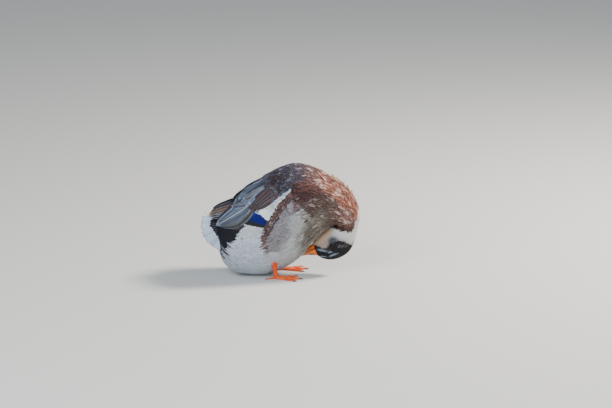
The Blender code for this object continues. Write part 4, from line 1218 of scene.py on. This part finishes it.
# ---------------------------------------------------------------------------------------------
# Eyes: a glossy brown ball with a round black pupil on each side, held by a low bare lid.
# ---------------------------------------------------------------------------------------------
EYE_RADIUS, EYE_LOOK, LID_RADIUS = 5.6 * MM, 1.5 * MM, 0.8 * MM
LID_BACK, LID_OVAL = 0.3 * MM, 0.86
IRIS, IRIS_RIM, PUPIL = colour(62, 30, 12), colour(14, 8, 6), 0.96
# How far a ring stays clear of the ball's two poles, in radians.
POLE = 0.03


def look_out(centre):
    """The way out of the head at an eye."""
    place, _, _, out, _, _ = lie_of_coat(*grid(np.linspace(16, LAST, 60), np.linspace(0, 2 * math.pi, 160)))
    return out.reshape(-1, 3)[np.argmin(np.linalg.norm(place - centre, axis=-1))]


def build_ball(name, centre, axis, aside, above):
    polar, spin = grid(np.linspace(POLE, math.pi - POLE, 40), full_turn(48))
    ring = np.cos(spin)[..., None] * aside + np.sin(spin)[..., None] * above
    ball = centre + EYE_RADIUS * (np.cos(polar)[..., None] * axis + np.sin(polar)[..., None] * ring)
    made = add_lofts(name, [ball])
    iris = IRIS + (IRIS_RIM - IRIS) * ease(polar, 0.30, 0.62)[..., None]
    iris = iris * (1 - (1 - ease(polar, 0.24, 0.29)) * PUPIL)[..., None]
    add_colours(made, Core=np.concatenate((iris.reshape(-1, 3), iris[0, :1], iris[-1, :1])))
    return made


def build_lid(name, centre, axis, aside, above):
    inner, spin = grid(full_turn(56), full_turn(14))
    spoke = np.cos(inner)[..., None] * aside + np.sin(inner)[..., None] * above * LID_OVAL
    seat = EYE_RADIUS - EYE_LOOK - LID_BACK
    wide, deep = (np.cos(spin) * LID_RADIUS)[..., None], (np.sin(spin) * LID_RADIUS)[..., None]
    lid = centre + axis * seat + spoke * math.sqrt(EYE_RADIUS**2 - seat**2) + spoke * wide + axis * deep
    index = np.arange(lid[..., 0].size).reshape(lid.shape[:2])
    around, along = np.roll(index, -1, axis=1), np.roll(index, -1, axis=0)
    corners = (index, along, np.roll(along, -1, axis=1), around)
    return make_mesh(name, lid.reshape(-1, 3), np.stack(corners, axis=-1).reshape(-1, 4))


wet_eye, tree, shader = new_material("eye_brown", Roughness=0.06, IOR=1.34)
feed(tree, shader, Base_Color=painted(tree))
lid_skin, _, _ = new_material("eyelid_skin", Roughness=0.6, Base_Color=(*colour(30, 27, 29), 1))
for word, centre in EYES.items():
    axis = look_out(centre)
    aside = unit(np.cross(axis, np.array((0, 0, 1))))
    ways = axis, aside, np.cross(aside, axis)
    finish_piece(build_ball("eye_" + word, centre, *ways), wet_eye, "eye", "eye_" + word)
    finish_piece(build_lid("eyelid_" + word, centre, *ways), lid_skin, "eye")

# ---------------------------------------------------------------------------------------------
# Legs and feet: orange scaly shanks, three webbed toes and a short hind toe on each foot, with
# a row of broad plates down the front and over the toes, and dark claws.
# ---------------------------------------------------------------------------------------------
ANKLE = {-1: np.array((-19, -60, 58)), 1: np.array((-1, 58, 58))}
HEEL = {-1: np.array((-12, -45, 9)), 1: np.array((4, 45, 9))}
LEG_RADII = (6.4, 5.8, 5.5, 5.7, 6.5, 8.0, 9.0, 9.0, 8.4)
# Each toe's turn in degrees, its length and its width.
TOES = ((-27, 54, 7.4), (0, 62, 8.0), (26, 56, 7.4))
HIND_TOE, HIND_BACK, HIND_CLAW = (152, 21, 5.4), 3, 0.6
TOE_OUT, TOE_RINGS, JOINTS = math.radians(6), 30, 3
CLAW_LENGTH = 8.0
# The lump under the shank: places (along, across, up) from the heel, and radii.
HEEL_LUMP, LUMP_RADII = ((-6, 0, 3.6), (-2, 0, 4.4), (3, 0, 4.4), (9, 0, 3.4)), (3.8, 5.6, 5.4, 4.2)
WEB_THICK, WEB_START, WEB_NOTCH, WEB_SHORT = 0.7, 0.10, 0.17, 0.96
# A plate's seat, as a share of the limb's radius, its breadth on toes and shank, and its proportions.
PLATE_SEAT, TOE_PLATE, SHANK_PLATE = 0.80, 1.15, 1.05
SCUTE = dict(Length=0.62, Width=1.0, Rise=0.55)
AHEAD, UP = np.array((1.0, 0.0, 0.0)), np.array((0.0, 0.0, 1.0))


def limb(line, radii, points=22, floor=-1.0):
    """Rings of a round limb along a line, in metres, level underneath where it meets the floor."""
    line, radii = np.asarray(line, float), np.asarray(radii, float)
    ahead = unit(np.gradient(line, axis=0))
    side = np.cross(ahead, UP)
    side = np.where(np.linalg.norm(side, axis=-1, keepdims=True) > 0.2, unit(side), np.array((0.0, 1.0, 0.0)))
    above = unit(np.cross(side, ahead))
    turn = full_turn(points)
    rings = line[:, None] + radii[:, None, None] * (
        np.cos(turn)[None, :, None] * side[:, None] + np.sin(turn)[None, :, None] * above[:, None])
    rings[..., 2] = np.maximum(rings[..., 2], floor)
    return rings * MM


def toe_line(heel, turn, length, width):
    """A toe's middle line and its radii, which swell at its joints."""
    share = np.linspace(0, 1, TOE_RINGS)
    radii = width / 2 * (1.12 - 0.48 * share) * (1 + 0.10 * np.cos(2 * math.pi * share * JOINTS))
    ahead = np.array((math.cos(turn), math.sin(turn), 0))
    return heel + ahead * (length * share)[:, None] + UP * (radii * 0.62)[:, None], radii, ahead


def build_claw(root, ahead, size, radius):
    bend = np.linspace(-0.25, 1, 12)
    past_root = np.maximum(bend, 0)
    line = root + ahead * (size * bend)[:, None]
    line[:, 2] = np.maximum(root[2] * (1 - past_root**2), 0.4) + 0.6 * np.sin(math.pi * past_root)
    return limb(line, radius * (0.80 - 0.66 * past_root), 12, floor=0.0)


def build_web(name, heel, toes):
    """A skin between the three front toes, notched between them, level underneath."""
    swing, reach = grid(np.linspace(0, 2, 49), np.linspace(WEB_START, 1, 22))
    turns, lengths = (single(row, swing) for row in list(zip(*sorted(toes)))[:2])
    between = np.sin(math.pi * np.mod(swing, 1))
    out = lengths * (WEB_SHORT - WEB_NOTCH * between) * reach
    height = (2.6 - 1.5 * between * ease(reach, 0.05, 0.5) - 0.5 * reach
              + 0.18 * np.sin(swing * 34) * between * reach)
    top = np.stack((heel[0] + np.cos(turns) * out, heel[1] + np.sin(turns) * out,
                    np.maximum(height, WEB_THICK)),
                   axis=-1)
    return make_mesh(name, both_sheets(top, top * (1, 1, 0)) * MM, vane_faces(*top.shape[:2]))


def build_foot(word, side):
    """A foot's pieces; gives back the places of its plates."""
    heel = HEEL[side] * (1, 1, 0)
    lofts, claws, plates, fronts = [], [], [], []
    for degrees, length, width in (*TOES, HIND_TOE):
        front = degrees < 90
        turn = math.radians(degrees) * side + TOE_OUT * side
        line, radii, ahead = toe_line(heel if front else heel - AHEAD * HIND_BACK, turn, length, width)
        if front:
            fronts.append((turn, length))
        lofts.append(limb(line, radii, floor=0.0))
        claws.append(build_claw(line[-1], ahead, CLAW_LENGTH * (1.0 if front else HIND_CLAW), radii[-1]))
        for place, radius in zip(line[3:-1:2], radii[3:-1:2]):
            plates.append((place + UP * radius * PLATE_SEAT, UP, ahead, radius * TOE_PLATE))
    steps = np.linspace(0, len(LUMP_RADII) - 1, 14)
    lofts.append(limb(curve(heel + np.array(HEEL_LUMP), steps), single(LUMP_RADII, steps), floor=0.0))
    finish_piece(add_lofts("foot_" + word, lofts), leg_skin, "leg_skin", "foot_" + word)
    finish_piece(add_lofts("claws_" + word, claws), claw_horn, "leg_skin")
    finish_piece(build_web("web_" + word, heel, fronts), leg_skin, "leg_skin")
    return plates


leg_skin, tree, shader = new_material("leg_skin", Roughness=0.5)
spots = own_places(tree)
pebbles = add_node(tree, "ShaderNodeTexVoronoi", {"feature": "DISTANCE_TO_EDGE"}, Vector=spots, Scale=620.0)
base = mix(tree, noise(tree, spots, 60.0, 5.0).between(0.35, 0.70), colour(212, 66, 8), colour(236, 106, 22))
seams = (1.0 - pebbles.between(0.0, 0.10)) * 0.35
feed(tree, shader, Base_Color=mix(tree, seams, base, colour(122, 36, 8)))
bump(tree, shader, pebbles.between(0.0, 0.25), 0.45, 0.0005)
claw_horn, tree, shader = new_material("claw_horn", Roughness=0.4)
grains = noise(tree, own_places(tree), 300.0)
feed(tree, shader, Base_Color=mix(tree, grains.between(0.3, 0.7), colour(44, 34, 28), colour(74, 56, 42)))
scute_tree = repeat_tree("scutes", "GeometryNodeMeshUVSphere", dict(Segments=12, Rings=6, Radius=0.5),
                         leg_skin,
                         **SCUTE)
for word, side in (("left", 1), ("right", -1)):
    plates = build_foot(word, side)
    share = np.linspace(-0.03, 1, 44)
    line = HEEL[side] + (ANKLE[side] - HEEL[side]) * share[:, None]
    radii = single(LEG_RADII, np.clip(share, 0, 1) * (len(LEG_RADII) - 1))
    finish_piece(add_lofts("leg_" + word, [limb(line, radii, 28)]), leg_skin, "leg_skin", "leg_" + word)
    shank = unit(ANKLE[side] - HEEL[side])
    front = unit(AHEAD - shank * shank[0])
    for place, radius in zip(line[2:-4:2], radii[2:-4:2]):
        plates.append((place + front * radius * PLATE_SEAT, front, shank, radius * SHANK_PLATE))
    places, normals, ways, breadths = zip(*plates)
    scutes = set_on_points("scutes_" + word, scute_tree, np.array(places) * MM, facing_angles(normals, ways),
                           np.array(breadths) * MM, **SCUTE)
    finish_piece(scutes, leg_skin, "leg_skin")

# ---------------------------------------------------------------------------------------------
# The studio: a pale floor, soft light and a long lens low over the floor.
# ---------------------------------------------------------------------------------------------
VIEW_DROP = math.radians(13)
VIEW_DISTANCE = 6.538
LENS, SENSOR, FAR = 150, 36, 60
AIM_ACROSS, AIM_UP = 0.0649, 0.180
FLOOR_REACH = 30
# Each light's place, target, size, power and tint.
LIGHTS = {
    "key": ((2.3, 0.5, 2.3), (0.05, 0, 0.15), 0.8, 205, (1.0, 0.93, 0.84)),
    "fill": ((-1.6, -2.6, 1.9), (0, 0, 0.12), 2.8, 96, (0.88, 0.94, 1.0)),
    "front": ((0.9, -3.2, 0.9), (0, 0, 0.12), 2.2, 40, (1.0, 0.98, 0.96)),
}
SKY, SKY_STRENGTH = (0.80, 0.86, 0.94, 1), 0.55
sight = Vector((0, math.cos(VIEW_DROP), -math.sin(VIEW_DROP)))
screen_up = Vector((0, math.sin(VIEW_DROP), math.cos(VIEW_DROP)))
camera = add_object("camera", bpy.data.cameras.new("camera"))
camera.data.lens, camera.data.sensor_width, camera.data.clip_end = LENS, SENSOR, FAR
camera.location = Vector((AIM_ACROSS, 0, 0)) + screen_up * AIM_UP - sight * VIEW_DISTANCE
camera.rotation_euler = (math.pi / 2 - VIEW_DROP, 0, 0)
bpy.context.scene.camera = camera
for name, (place, target, size, power, tint) in LIGHTS.items():
    lamp = bpy.data.lights.new(name, "AREA")
    lamp.shape, lamp.size, lamp.energy, lamp.color = "DISK", size, power, tint
    light = add_object(name, lamp)
    light.location = place
    light.rotation_euler = (Vector(target) - Vector(place)).to_track_quat("-Z", "Y").to_euler()
world = bpy.data.worlds.new("studio")
bpy.context.scene.world = world
world.use_nodes = True
feed(world.node_tree, world.node_tree.nodes["Background"], Color=SKY, Strength=SKY_STRENGTH)

corners = [(x * FLOOR_REACH, y * FLOOR_REACH, 0) for x, y in ((-1, -1), (1, -1), (1, 1), (-1, 1))]
floor = make_mesh("floor", corners, [(0, 1, 2, 3)])
pale, _, _ = new_material("pale_floor", Roughness=0.9, Base_Color=(0.60, 0.60, 0.58, 1))
floor.data.materials.append(pale)
